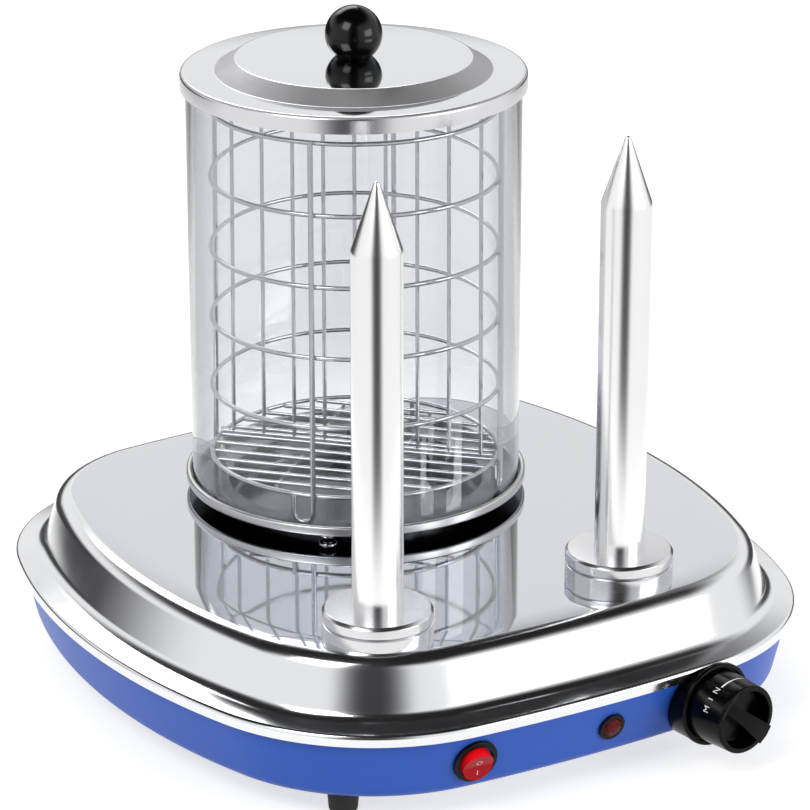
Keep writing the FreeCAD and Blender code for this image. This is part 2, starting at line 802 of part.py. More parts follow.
def make_heater():
    """Heater disc with its cast-in tube, the bridge that presses it up, and the nut."""
    disc = new_body("tray_heater")
    bore = "(stud_radius + fit_clearance)"
    ring = "heater_tube_ring"
    wide = "heater_tube_radius"
    plate = turn(
        disc,
        [
            (bore, HEATER_UNDER),
            (ring + " - " + wide, HEATER_UNDER),
            (ring + " - " + wide + " * 0.6", HEATER_UNDER + " - " + wide),
            (ring + " + " + wide + " * 0.6", HEATER_UNDER + " - " + wide),
            (ring + " + " + wide, HEATER_UNDER),
            ("heater_radius", HEATER_UNDER),
            ("heater_radius", WELL_UNDER),
            (bore, WELL_UNDER),
        ],
    )
    bridge = new_body("heater_bridge")
    low = "(" + HEATER_UNDER + " - " + wide + " - bridge_sheet)"
    form = new_sketch(bridge, "XZ_Plane", "form", "0 - bridge_width / 2")
    inner = "(bridge_reach - 3 * bridge_sheet)"
    lip = "(bridge_reach + 4 * bridge_sheet)"
    polygon(
        form,
        [
            ("0 - " + inner, low),
            (inner, low),
            ("bridge_reach", COVER_UNDER + " - bridge_sheet"),
            (lip, COVER_UNDER + " - bridge_sheet"),
            (lip, COVER_UNDER),
            ("bridge_reach - bridge_sheet", COVER_UNDER),
            (inner + " - bridge_sheet", low + " + bridge_sheet"),
            ("0 - " + inner + " + bridge_sheet", low + " + bridge_sheet"),
            ("bridge_sheet - bridge_reach", COVER_UNDER),
            ("0 - " + lip, COVER_UNDER),
            ("0 - " + lip, COVER_UNDER + " - bridge_sheet"),
            ("0 - bridge_reach", COVER_UNDER + " - bridge_sheet"),
        ],
    )
    grow(bridge, "Pad", form, "bridge_width")
    drill(bridge, "hole", bore, at(0, 0, number(low)), number("wall_drilling"))
    nut = new_body("heater_nut")
    faces = new_sketch(nut, "XY_Plane", "nut", low)
    hexagon(faces, "stud_radius * 1.7")
    circle(faces, bore)
    grow(nut, "Pad", faces, "stud_radius * 1.6", reverse=True)


def hexagon(sketch, flat):
    """Regular hexagon about the origin, given half its width across flats."""
    corners = []
    for step in range(6):
        corners.append(
            (
                flat + " / cos(30) * cos(%d)" % (60 * step),
                flat + " / cos(30) * sin(%d)" % (60 * step),
            )
        )
    polygon(sketch, corners)


def make_spike(side):
    """One heated bun spike with its disc, cartridge heater and ring nut."""
    seat = FreeCAD.Placement(spike_places[side], FreeCAD.Rotation())
    spike = new_body("spike_" + side, seat)
    foot = "(plate_top - cover_sheet - spike_shank_drop)"
    cone = "(plate_top + spike_top - spike_cone)"
    tip = "(plate_top + spike_top)"
    bore_end = "(" + foot + " + spike_bore_depth)"
    rod = turn(
        spike,
        [
            ("spike_bore_radius", foot),
            ("spike_shank_radius", foot),
            ("spike_shank_radius", BASE_TOP),
            ("spike_radius", BASE_TOP),
            ("spike_radius", cone),
            ("spike_tip_radius", tip),
            ("0", tip),
            ("0", bore_end),
            ("spike_bore_radius", bore_end),
        ],
    )
    soften(spike, rod, "Fillet", "spike_tip_round", at_level(tip))
    disc = new_body("spike_base_" + side, seat)
    bore = "(spike_shank_radius + fit_clearance)"
    middle = "(plate_top + spike_base_height / 2)"
    turn(
        disc,
        [
            (bore, "plate_top"),
            ("spike_base_radius", "plate_top"),
            ("spike_base_radius", middle + " - spike_groove / 2"),
            ("spike_base_radius - spike_groove", middle),
            ("spike_base_radius", middle + " + spike_groove / 2"),
            ("spike_base_radius", BASE_TOP + " - spike_base_bevel"),
            ("spike_base_radius - spike_base_bevel", BASE_TOP),
            (bore, BASE_TOP),
        ],
    )
    heater = new_body("spike_heater_" + side, seat)
    low = "(" + bore_end + " - fit_clearance - cartridge_length)"
    turn(
        heater,
        [
            ("0", low),
            ("spike_bore_radius - fit_clearance", low),
            ("spike_bore_radius - fit_clearance", low + " + cartridge_length"),
            ("0", low + " + cartridge_length"),
        ],
    )
    nut = new_body("spike_nut_" + side, seat)
    faces = new_sketch(nut, "XY_Plane", "nut", COVER_UNDER)
    hexagon(faces, "spike_nut_flats / 2")
    circle(faces, bore)
    grow(nut, "Pad", faces, "spike_nut_height", reverse=True)


def make_glass():
    """Open glass cylinder that stands on the tray's ledge inside the rim."""
    body = new_body("glass_cylinder")
    inner = "(glass_radius - glass_wall)"
    tube = turn(
        body,
        [
            (inner, GLASS_FOOT),
            ("glass_radius", GLASS_FOOT),
            ("glass_radius", GLASS_FOOT + " + glass_height"),
            (inner, GLASS_FOOT + " + glass_height"),
        ],
    )
    soften(body, tube, "Fillet", "glass_wall * 0.3", at_level(GLASS_FOOT + " + glass_height"))


def make_lid():
    """Pressed lid with a raised centre, its ball knob and the screw that holds the knob."""
    plate = new_body("lid_plate")
    hole = "(lid_screw_radius + fit_clearance)"
    skirt = "(" + LID_TOP + " - lid_skirt)"
    pressed = turn(
        plate,
        [
            (hole, DISC_TOP + " - lid_sheet"),
            ("lid_disc_radius", DISC_TOP + " - lid_sheet"),
            ("lid_step_radius", LID_UNDER),
            ("lid_radius - lid_sheet", LID_UNDER),
            ("lid_radius - lid_sheet", skirt),
            ("lid_radius", skirt),
            ("lid_radius", LID_TOP),
            ("lid_step_radius", LID_TOP),
            ("lid_disc_radius", DISC_TOP),
            (hole, DISC_TOP),
        ],
    )
    soften(plate, pressed, "Fillet", "lid_edge_round", at_level(LID_TOP, "lid_radius"))
    knob = new_body("lid_knob")
    ball = knob.newObject("PartDesign::AdditiveSphere", "lid_knob_ball")
    bind(ball, "Radius", "knob_ball_radius")
    bind(ball, "Placement.Base.z", DISC_TOP + " + knob_ball_centre")
    trim = new_sketch(knob, "XY_Plane", "trim", DISC_TOP)
    circle(trim, "knob_ball_radius + 1")
    grow(knob, "Pocket", trim, "knob_ball_radius")
    bore = new_sketch(knob, "XY_Plane", "bore", DISC_TOP + " - 1")
    circle(bore, "lid_screw_radius + fit_clearance")
    grow(knob, "Pocket", bore, "lid_screw_depth + 1 + screw_clearance", reverse=True)
    screw = new_body("lid_screw")
    under = "(" + DISC_TOP + " - lid_sheet)"
    turn(
        screw,
        [
            ("0", under + " - screw_head_height"),
            ("lid_screw_head * 0.7", under + " - screw_head_height"),
            ("lid_screw_head", under + " - screw_head_height * 0.4"),
            ("lid_screw_head", under),
            ("lid_screw_radius", under),
            ("lid_screw_radius", DISC_TOP + " + lid_screw_depth"),
            ("0", DISC_TOP + " + lid_screw_depth"),
        ],
    )


def wire_through(points, radius, rounds):
    """Round wire along straight runs with a tangent arc at each inner corner."""
    path = []
    start = points[0]
    for before, corner, after, bend in zip(points, points[1:], points[2:], rounds):
        back = (before - corner).normalize()
        ahead = (after - corner).normalize()
        half = back.getAngle(ahead) / 2
        reach = bend / math.tan(half)
        middle = corner + (back + ahead).normalize() * (bend / math.sin(half) - bend)
        path.append(Part.makeLine(start, corner + back * reach))
        path.append(Part.Arc(corner + back * reach, middle, corner + ahead * reach).toShape())
        start = corner + ahead * reach
    path.append(Part.makeLine(start, points[-1]))
    spine = Part.Wire(path)
    ring = Part.Circle(points[0], points[1] - points[0], radius).toShape()
    return spine.makePipeShell([Part.Wire([ring])], True, False)


def make_basket():
    """Wire basket: six rings, four uprights with bent feet, a floor grid and a divider."""
    seat = FreeCAD.Placement(V(0, 0, 0), FreeCAD.Rotation(V(0, 0, 1), -number("basket_angle")))
    for step in range(6):
        ring = sub_part("Part::Torus", "basket_ring_%d" % (step + 1), seat)
        bind(ring, "Radius1", "ring_radius")
        bind(ring, "Radius2", "ring_wire")
        bind(ring, "Placement.Base.z", FIRST_RING + " + %d * " % step + RING_PITCH)
    # Each upright runs down outside the rings to a bent foot and back up beside the lowest ring.
    wire = number("upright_wire")
    reach = number("ring_radius + ring_wire + weld_gap") + wire
    top = number(TOP_RING + " + ring_wire")
    sole = number(LEDGE_TOP + " + seat_gap")
    turn_back = number("foot_spread") / reach
    for index in range(4):
        angle = math.pi / 2 * index
        along = V(math.cos(angle), math.sin(angle), 0)
        aside = V(math.cos(angle - turn_back), math.sin(angle - turn_back), 0)
        middle = (along + aside).normalize()
        low = sole
        for attempt in range(6):
            points = [
                along * reach + V(0, 0, top),
                along * reach + V(0, 0, low + 2 * wire),
                middle * reach + V(0, 0, low),
                aside * reach + V(0, 0, number(FIRST_RING)),
            ]
            # The bend rounds the corner off, so the corner is lowered until the wire meets the ledge.
            back = (points[1] - points[2]).normalize()
            ahead = (points[3] - points[2]).normalize()
            bend = 1.2 * wire
            lift = (back + ahead).normalize().z * bend / math.sin(back.getAngle(ahead) / 2) - bend - wire
            low = sole - lift
        rounds = [1.6 * wire, bend]
        upright = sub_part("Part::Feature", "basket_upright_%d" % (index + 1))
        upright.Shape = wire_through(points, wire, rounds)
        upright.Placement = LAYOUT.multiply(seat)
    make_floor(seat)
    make_divider(seat)


def straight_wires(name, seat, wires):
    """One sub-part of straight wires, each given by radius, start, length and direction."""
    group = sub_part("Part::MultiFuse", name, seat)
    rods = []
    for index, (radius, start, length, rotation) in enumerate(wires, start=1):
        rod = doc.addObject("Part::Cylinder", "%s_%d" % (name, index))
        bind(rod, "Radius", radius)
        bind(rod, "Height", length)
        rod.Placement = FreeCAD.Placement(start, rotation)
        rods.append(rod)
    group.Shapes = rods
    return group


def make_floor(seat):
    """Floor grid of parallel wires with two cross wires under them."""
    lay = FreeCAD.Rotation(V(0, 1, 0), 90)
    across = FreeCAD.Rotation(V(1, 0, 0), -90)
    level = number(FIRST_RING)
    inner = number("ring_radius - ring_wire - weld_gap")
    wires = []
    for step in range(-5, 6):
        y = step * number("floor_pitch")
        half = math.sqrt(inner**2 - (abs(y) + number("floor_wire")) ** 2)
        wires.append(("floor_wire", V(-half, y, level), str(round(2 * half, 4)), lay))
    drop = number("floor_wire") * 1.8
    for x in (-number("floor_pitch") * 2, number("floor_pitch") * 2):
        half = number("floor_pitch") * 5
        wires.append(("floor_wire", V(x, -half, level - drop), str(round(2 * half, 4)), across))
    return straight_wires("basket_floor", seat, wires)


def make_divider(seat):
    """Upright divider panel across the middle of the basket, with a rail at its top and bottom."""
    lay = FreeCAD.Rotation(V(0, 1, 0), 90)
    low = number(FIRST_RING + " + floor_wire + weld_gap + divider_wire")
    high = number(TOP_RING)
    inner = number("ring_radius - ring_wire - weld_gap")
    half = math.sqrt(inner**2 - number("divider_wire") ** 2)
    wires = []
    for level in (low, high):
        wires.append(("divider_wire", V(-half, 0, level), str(round(2 * half, 4)), lay))
    for step in range(-4, 5):
        x = step * number("divider_pitch")
        wires.append(("divider_wire", V(x, 0, low), str(round(high - low, 4)), FreeCAD.Rotation()))
    return straight_wires("basket_divider", seat, wires)


def make_switch():
    """Round rocker switch: bezel and body in one piece, and the rocker on its two pins."""
    body = new_body("switch_body", switch_seat)
    barrel = turn(
        body,
        [
            ("0", "0 - switch_body_depth"),
            ("switch_body_radius", "0 - switch_body_depth"),
            ("switch_body_radius", "seat_gap"),
            ("bezel_radius", "seat_gap"),
            ("bezel_radius", "bezel_height"),
            ("rocker_well_radius", "bezel_height"),
            ("rocker_well_radius", "bezel_height - rocker_well_depth"),
            ("0", "bezel_height - rocker_well_depth"),
        ],
    )
    soften(body, barrel, "Fillet", "bezel_height * 0.4", at_level("bezel_height", "bezel_radius"))
    pins = FreeCAD.Placement(V(0, 0, -number("pivot_depth")), FreeCAD.Rotation(V(0, 1, 0), 90))
    drill(body, "pin_holes", "pivot_radius + fit_clearance", pins, number("rocker_well_radius + 0.7"))
    tilt = FreeCAD.Rotation(V(1, 0, 0), number("rocker_tilt"))
    pivot = FreeCAD.Placement(V(0, 0, -number("pivot_depth")), tilt)
    rocker = new_body("switch_rocker", switch_seat.multiply(pivot))
    low = "0 - rocker_radius * 0.35"
    high = "(pivot_depth + bezel_height + rocker_rise)"
    disc = new_sketch(rocker, "XY_Plane", "disc", low)
    circle(disc, "rocker_radius")
    grow(rocker, "Pad", disc, high + " + rocker_radius * 0.35")
    notch = new_sketch(rocker, "YZ_Plane", "notch", "0 - rocker_radius - 1")
    polygon(
        notch,
        [
            ("0 - rocker_radius - 1", high),
            ("0", high + " - rocker_dip"),
            ("rocker_radius + 1", high),
            ("rocker_radius + 1", high + " + 2"),
            ("0 - rocker_radius - 1", high + " + 2"),
        ],
    )
    grow(rocker, "Pocket", notch, "2 * rocker_radius + 2", reverse=True)
    pin = new_sketch(rocker, "YZ_Plane", "pins", "0 - rocker_well_radius - 0.5")
    circle(pin, "pivot_radius")
    grow(rocker, "Pad", pin, "2 * rocker_well_radius + 1")


def make_lamp():
    """Round indicator lamp: holder, domed lens and a small glow bulb behind it."""
    holder = new_body("lamp_holder", lamp_seat)
    bore = "(lamp_lens_radius + fit_clearance)"
    barrel = turn(
        holder,
        [
            ("0", "0 - lamp_body_depth"),
            ("lamp_body_radius", "0 - lamp_body_depth"),
            ("lamp_body_radius", "seat_gap"),
            ("lamp_bezel_radius", "seat_gap"),
            ("lamp_bezel_radius", "lamp_bezel_height"),
            (bore, "lamp_bezel_height"),
            (bore, "1 - lamp_body_depth"),
            ("0", "1 - lamp_body_depth"),
        ],
    )
    front_edge = at_level("lamp_bezel_height", "lamp_bezel_radius")
    soften(holder, barrel, "Fillet", "lamp_bezel_height * 0.4", front_edge)
    lens = new_body("lamp_lens", lamp_seat)
    top = "(lamp_bezel_height + lamp_lens_rise)"
    turn(
        lens,
        [
            ("0", "0"),
            ("lamp_lens_radius", "0"),
            ("lamp_lens_radius", "lamp_bezel_height"),
            ("lamp_lens_radius * 0.8", "lamp_bezel_height + lamp_lens_rise * 0.6"),
            ("lamp_lens_radius * 0.45", "lamp_bezel_height + lamp_lens_rise * 0.92"),
            ("0", top),
        ],
    )
    bulb = new_body("lamp_bulb", lamp_seat)
    end = "(1 - lamp_body_depth)"
    turn(
        bulb,
        [
            ("0", end),
            ("bulb_radius", end),
            ("bulb_radius", end + " + bulb_length"),
            ("bulb_radius * 0.5", end + " + bulb_length + bulb_radius"),
            ("0", end + " + bulb_length + bulb_radius"),
        ],
    )


def make_dial():
    """Thermostat: collar before the wall, body and nut behind and in it, shaft and dial."""
    collar = new_body("dial_collar", knob_seat)
    bore = "(bushing_radius + fit_clearance)"
    room = "(thermostat_nut_flats * 0.66)"
    ring = turn(
        collar,
        [
            (bore, "0 - collar_neck_length"),
            ("collar_body_radius", "0 - collar_neck_length"),
            ("collar_body_radius", "0"),
            ("collar_radius", "0"),
            ("collar_radius", "collar_height"),
            ("dial_radius + dial_gap", "collar_height"),
            ("dial_radius + dial_gap", "collar_floor"),
            (room, "collar_floor"),
            (room, "0 - nut_recess"),
            (bore, "0 - nut_recess"),
        ],
    )
    soften(collar, ring, "Fillet", "collar_edge_round", at_level("collar_height", "collar_radius"))
    # The body behind the flange passes under the hem and ends on the leaning wall.
    top = new_sketch(collar, "XY_Plane", "top", "0")
    level = HEM_BOTTOM + " - knob_height - collar_headroom"
    polygon(
        top,
        [
            ("0 - collar_radius", level),
            ("collar_radius", level),
            ("collar_radius", "collar_radius"),
            ("0 - collar_radius", "collar_radius"),
        ],
    )
    grow(collar, "Pocket", top, "collar_neck_length")
    wall = knob_seat.inverse().multiply(on_front(knob_seat.Base.x, "knob_height"))
    block = collar.newObject("PartDesign::SubtractiveBox", "dial_collar_wall")
    bind(block, "Length", "3 * collar_radius")
    bind(block, "Width", "3 * collar_radius")
    bind(block, "Height", "2 * collar_neck_length")
    reach = number("1.5 * collar_radius")
    corner = V(-reach, -reach, number("seat_gap - 2 * collar_neck_length"))
    block.Placement = wall.multiply(FreeCAD.Placement(corner, FreeCAD.Rotation()))
    neck = new_sketch(collar, "XY_Plane", "neck", "0 - collar_neck_length")
    circle(neck, "collar_neck_radius")
    circle(neck, bore)
    grow(collar, "Pad", neck, "collar_neck_length - nut_recess")
    body = new_body("thermostat_body", knob_seat)
    hole = "(shaft_radius + fit_clearance)"
    front = "(0 - collar_neck_length)"
    bushing_end = "(thermostat_nut_height + bushing_reach - nut_recess)"
    shaft_end = "(0 - collar_neck_length - thermostat_depth * 0.6)"
    turn(
        body,
        [
            ("0", front + " - thermostat_depth"),
            ("thermostat_radius", front + " - thermostat_depth"),
            ("thermostat_radius", front),
            ("bushing_radius", front),
            ("bushing_radius", bushing_end),
            (hole, bushing_end),
            (hole, shaft_end),
            ("0", shaft_end),
        ],
    )
    nut = new_body("thermostat_nut", knob_seat)
    faces = new_sketch(nut, "XY_Plane", "nut", "0 - nut_recess")
    hexagon(faces, "thermostat_nut_flats / 2")
    circle(faces, "bushing_radius + fit_clearance / 2")
    grow(nut, "Pad", faces, "thermostat_nut_height")
    make_dial_knob(shaft_end)


def make_dial_knob(shaft_end):
    """Turning dial: a tapered cup with a recessed face, a grip bar over its rim, and a shaft."""
    low = "(collar_floor + dial_gap)"
    high = "(collar_floor + dial_gap + dial_length)"
    floor = "(" + high + " - dial_recess_depth)"
    web = "(" + floor + " - dial_face_thickness)"
    hole = "(shaft_radius + fit_clearance / 2)"
    at_rest = FreeCAD.Placement(V(0, 0, 0), FreeCAD.Rotation(V(0, 0, 1), number("grip_angle")))
    dial = new_body("control_knob", knob_seat.multiply(at_rest))
    cup = turn(
        dial,
        [
            (hole, low),
            ("dial_radius", low),
            ("dial_front_radius", high),
            ("dial_recess_radius", high),
            ("dial_recess_radius - 1", floor),
            ("0", floor),
            ("0", web),
            (hole, web),
        ],
    )
    soften(dial, cup, "Fillet", "dial_edge_round", at_level(high, "dial_front_radius"))
    # The bar starts low in the recess, slopes up to the rim and ends just outside it.
    inner = "(dial_recess_radius * 0.95)"
    outer = "(dial_front_radius + grip_overhang)"
    grip = new_sketch(dial, "XY_Plane", "grip", web)
    polygon(
        grip,
        [
            ("0 - " + inner, "0 - grip_tip / 2"),
            (outer + " * 0.96", "0 - grip_root / 2"),
            (outer, "0"),
            (outer + " * 0.96", "grip_root / 2"),
            ("0 - " + inner, "grip_tip / 2"),
        ],
    )
    grow(dial, "Pad", grip, "dial_recess_depth + dial_face_thickness")
    slope = new_sketch(dial, "XZ_Plane", "slope")
    drop = inner + " * tan(grip_slope)"
    polygon(
        slope,
        [
            ("0", high),
            ("0 - " + inner + " * 1.02", high + " - " + drop + " * 1.02"),
            ("0 - " + inner + " * 1.02", high + " + 1"),
            ("0", high + " + 1"),
        ],
    )
    cut = dial.newObject("PartDesign::Pocket", "control_knob_slope_pocket")
    cut.Profile = slope
    cut.Midplane = True
    bind(cut, "Length", "2 * grip_root")
    shaft = new_body("thermostat_shaft", knob_seat)
    start = "(" + shaft_end + " + fit_clearance)"
    turn(
        shaft,
        [
            ("0", start),
            ("shaft_radius", start),
            ("shaft_radius", web + " - fit_clearance"),
            ("0", web + " - fit_clearance"),
        ],
    )


def make_inlet():
    """Cable bush in the back wall, its nut, and the terminal block on the bottom plate."""
    bush = new_body("cord_gland", gland_seat)
    turn(
        bush,
        [
            ("gland_bore_radius", "0 - gland_depth"),
            ("gland_radius", "0 - gland_depth"),
            ("gland_radius", "seat_gap"),
            ("gland_flange_radius", "seat_gap"),
            ("gland_flange_radius", "gland_flange_height / 2"),
            ("gland_radius", "gland_flange_height"),
            ("gland_bore_radius", "gland_flange_height"),
        ],
    )
    nut = new_body("gland_nut", gland_seat)
    faces = new_sketch(nut, "XY_Plane", "nut", "0 - housing_sheet - seat_gap")
    hexagon(faces, "gland_nut_flats / 2")
    circle(faces, "gland_radius + fit_clearance / 2")
    grow(nut, "Pad", faces, "gland_nut_height", reverse=True)
    block = new_body("terminal_block")
    base = new_sketch(block, "XY_Plane", "base", BOTTOM_TOP)
    middle_x = GLAND_X
    middle_y = "(plan_back - bottom_opening_inset - terminal_width)"
    polygon(
        base,
        [
            (middle_x + " - terminal_length / 2", middle_y + " - terminal_width / 2"),
            (middle_x + " + terminal_length / 2", middle_y + " - terminal_width / 2"),
            (middle_x + " + terminal_length / 2", middle_y + " + terminal_width / 2"),
            (middle_x + " - terminal_length / 2", middle_y + " + terminal_width / 2"),
        ],
    )
    grow(block, "Pad", base, "terminal_height")
    ways = new_sketch(block, "XY_Plane", "ways", BOTTOM_TOP + " + terminal_height + 1")
    for step in (-1, 0, 1):
        circle(ways, "terminal_width * 0.16", middle_x + " + %d * terminal_length / 3" % step, middle_y)
    grow(block, "Pocket", ways, "terminal_height / 2 + 1")


def main():
    make_housing()
    make_bottom_plate()
    make_feet()
    make_posts()
    make_cover()
    make_tray()
    make_tray_rivets()
    make_heater()
    for side in ("left", "right"):
        make_spike(side)
    make_switch()
    make_lamp()
    make_dial()
    make_inlet()
    make_glass()
    make_basket()
    make_lid()
    doc.recompute()
    for item in doc.Objects:
        if "Invalid" in item.State or "Error" in item.State:
            raise RuntimeError("%s did not build: %s" % (item.Label, item.State))
    os.makedirs("parts", exist_ok=True)
    for item in SUB_PARTS:
        shape = item.Shape
        if shape.isNull() or not shape.isValid():
            raise RuntimeError("the shape of %s is not valid" % item.Label)
        shape.exportStep(os.path.join("parts", item.Label + ".step"))
        box = shape.BoundBox
        line = "%-20s solids %d volume %.1f z %.1f to %.1f"
        print(line % (item.Label, len(shape.Solids), shape.Volume, box.ZMin, box.ZMax))
    print("sub-parts: %d, glass axis at y %.3f" % (len(SUB_PARTS), AXIS_Y))


main()
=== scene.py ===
# %% [markdown]
# # Hot dog toaster
# A small counter appliance: two heated bun spikes stand on a polished pressed cover, and behind
# them a glass cylinder with a wire basket stands in a round water tray. Each cell below makes one
# piece or one finish, in the order in which a modeller would meet them.

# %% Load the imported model
import math

import bmesh
import bpy
from mathutils import Matrix, Vector


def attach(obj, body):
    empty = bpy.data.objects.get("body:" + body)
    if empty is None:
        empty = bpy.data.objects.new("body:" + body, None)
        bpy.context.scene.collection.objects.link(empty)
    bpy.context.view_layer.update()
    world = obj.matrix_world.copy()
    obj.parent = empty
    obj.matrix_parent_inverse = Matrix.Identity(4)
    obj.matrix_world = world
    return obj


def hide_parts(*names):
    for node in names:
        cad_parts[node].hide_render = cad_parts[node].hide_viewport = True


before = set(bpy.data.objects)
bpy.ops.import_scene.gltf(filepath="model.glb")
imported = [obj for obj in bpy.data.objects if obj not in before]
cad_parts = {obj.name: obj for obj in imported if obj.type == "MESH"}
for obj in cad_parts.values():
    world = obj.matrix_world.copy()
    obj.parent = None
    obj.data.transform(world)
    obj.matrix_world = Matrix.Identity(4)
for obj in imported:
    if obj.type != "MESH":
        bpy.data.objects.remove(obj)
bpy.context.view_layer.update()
print("packed nodes:", len(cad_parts))

# %% [markdown]
# All sizes are written in millimetres, as they stand on a drawing, and one factor turns them to
# metres. The glass axis is the line that everything else is placed from, so it has a name.

# %% Sizes that several pieces share
MM = 0.001
AXIS = Vector((0.0, 60.309, 0.0))
PLATE = 80.0
SPIKES = {"left": (-86.9, -168.5), "right": (51.6, -168.5)}
MERGE = 1e-7  # metres; points that lie closer are one point


def on_axis(x, y, z=0.0):
    """A point given from the glass axis, in the model's own millimetres."""
    return Vector((x, y, z)) + AXIS


for side, spot in SPIKES.items():
    print("spike", side, "stands at", tuple(on_axis(*spot)))

# %% [markdown]
# Colours are written as the hex values that a paint programme shows. Blender's shaders add light
# in linear values, so one function turns each hex value before it is used. The scale of a pattern
# is the number of its patches to the metre.

# %% Colour and node helpers
def linear(code):
    """A hex sRGB colour as linear RGBA."""
    parts = []
    for start in (0, 2, 4):
        value = int(code[start:start + 2], 16) / 255
        parts.append(value / 12.92 if value <= 0.04045 else ((value + 0.055) / 1.055) ** 2.4)
    return (*parts, 1.0)


def add_node(tree, kind, settings=None, **inputs):
    """Adds one node, sets its settings and its sockets, and links a socket given as a link."""
    node = tree.nodes.new(kind)
    for name, value in (settings or {}).items():
        setattr(node, name, value)
    for name, value in inputs.items():
        socket = node.inputs[int(name[1:]) if name[1:].isdigit() else name.replace("_", " ")]
        if isinstance(value, bpy.types.NodeSocket):
            tree.links.new(value, socket)
        else:
            socket.default_value = value
    return node


def new_material(name):
    """An empty material with its principled shader already on the output."""
    material = bpy.data.materials.new(name)
    material.use_nodes = True
    tree = material.node_tree
    tree.nodes.clear()
    shader = add_node(tree, "ShaderNodeBsdfPrincipled")
    add_node(tree, "ShaderNodeOutputMaterial", Surface=shader.outputs["BSDF"])
    return material, tree, shader


def object_position(tree, place=(0, 0, 0), scale=(1, 1, 1)):
    """Object coordinates, moved and stretched for a pattern."""
    coords = add_node(tree, "ShaderNodeTexCoord")
    return add_node(
        tree, "ShaderNodeMapping", {"vector_type": "TEXTURE"},
        Vector=coords.outputs["Object"], Location=place, Scale=scale,
    ).outputs["Vector"]


def patches_of(size_mm):
    """The number of patches to the metre when each is about this wide."""
    return 1 / (size_mm * MM)


def show_on(tree, shader_socket):
    """Puts this shader on the material's output instead."""
    out = next(node for node in tree.nodes if node.type == "OUTPUT_MATERIAL")
    tree.links.new(shader_socket, out.inputs["Surface"])


def set_sockets(shader, **values):
    """Sets constant values on the shader's own sockets."""
    for name, value in values.items():
        shader.inputs[name.replace("_", " ")].default_value = value


print("a mid grey of 808080 is", round(linear("808080")[0], 3), "in linear light")

# %% [markdown]
# The cover and the lid are stamped from stainless steel sheet and buffed to a mirror. The eye sees
# a sharp reflection that wavers a little, because a pressed sheet is never quite flat, and a faint
# haze of wiping scratches. A slow noise bends the surface and a fine one varies the roughness. The
# drawn walls are buffed less than the flat tops, and the cone of the lid is only brushed.

# %% Polished stainless steel
def polished_steel(name, colour="DADCDF", roughness=0.05, wave=0.10):
    """Sheet or wire that mirrors its surroundings, a little unevenly."""
    material, tree, shader = new_material(name)
    set_sockets(shader, Base_Color=linear(colour), Metallic=1.0)
    place = object_position(tree)
    haze = add_node(
        tree, "ShaderNodeTexNoise", Vector=place, Scale=38.0, Detail=4.0,
    )
    level = add_node(
        tree, "ShaderNodeMapRange", Value=haze.outputs[0],
        _3=roughness * 0.75, _4=roughness * 1.5,
    )
    tree.links.new(level.outputs[0], shader.inputs["Roughness"])
    slow = add_node(
        tree, "ShaderNodeTexNoise", Vector=place, Scale=16.0, Detail=1.0,
    )
    bump = add_node(
        tree, "ShaderNodeBump", Height=slow.outputs[0], Strength=wave, Distance=0.6 * MM,
    )
    tree.links.new(bump.outputs[0], shader.inputs["Normal"])
    return material


mirror_steel = polished_steel("mirror polished stainless sheet", "D3D5DA", 0.035)
drawn_steel = polished_steel("drawn and buffed stainless sheet", "E4E5E7", 0.13)
mirror_lid = polished_steel("mirror polished lid sheet", roughness=0.05, wave=0.06)
drawn_lid = polished_steel("drawn and buffed lid sheet", "DCDCDE", 0.18, 0.06)
brushed_lid = polished_steel("brushed lid sheet", "C2C2C4", 0.5, 0.06)
print("polished finishes:", len(bpy.data.materials))

# %% [markdown]
# Some pieces are turned or spun instead: the spikes, their discs and the water tray. Their tool
# marks run one way, so light spreads across them. Noise that changes only across the tool's path
# gives the marks. A real cut leaves one about every 0.2 mm, which is too fine to show, so they are
# drawn every 0.4 mm, and every 1.4 mm on the discs, where they are plain to see.

# %% Turned aluminium and brushed steel
MARK_DEPTH = 1 / 20
DISC_MARK_MM = 1.4


def tooled_metal(name, colour, roughness, marks, centre=(0, 0), pitch_mm=0.4, strength=0.25):
    """Metal whose marks run round a vertical axis ("round") or lie as level rings ("level")."""
    material, tree, shader = new_material(name)
    set_sockets(shader, Base_Color=linear(colour), Metallic=1.0)
    place = object_position(tree, place=(centre[0] * MM, centre[1] * MM, 0))
    parts = add_node(tree, "ShaderNodeSeparateXYZ", Vector=place)
    if marks == "round":
        flat = add_node(tree, "ShaderNodeCombineXYZ", X=parts.outputs[0], Y=parts.outputs[1])
        across = add_node(
            tree, "ShaderNodeVectorMath", {"operation": "LENGTH"}, _0=flat.outputs[0],
        )
        along = across.outputs["Value"]
    else:
        along = parts.outputs[2]
    line = add_node(tree, "ShaderNodeCombineXYZ", X=along)
    grain = add_node(
        tree, "ShaderNodeTexNoise", Vector=line.outputs[0], Scale=patches_of(pitch_mm),
        Detail=3.0, Roughness=0.7,
    )
    level = add_node(
        tree, "ShaderNodeMapRange", Value=grain.outputs[0],
        _3=roughness * 0.8, _4=roughness * 1.25,
    )
    tree.links.new(level.outputs[0], shader.inputs["Roughness"])
    bump = add_node(
        tree, "ShaderNodeBump", Height=grain.outputs[0], Strength=strength,
        Distance=pitch_mm * MM * MARK_DEPTH,
    )
    tree.links.new(bump.outputs[0], shader.inputs["Normal"])
    return material


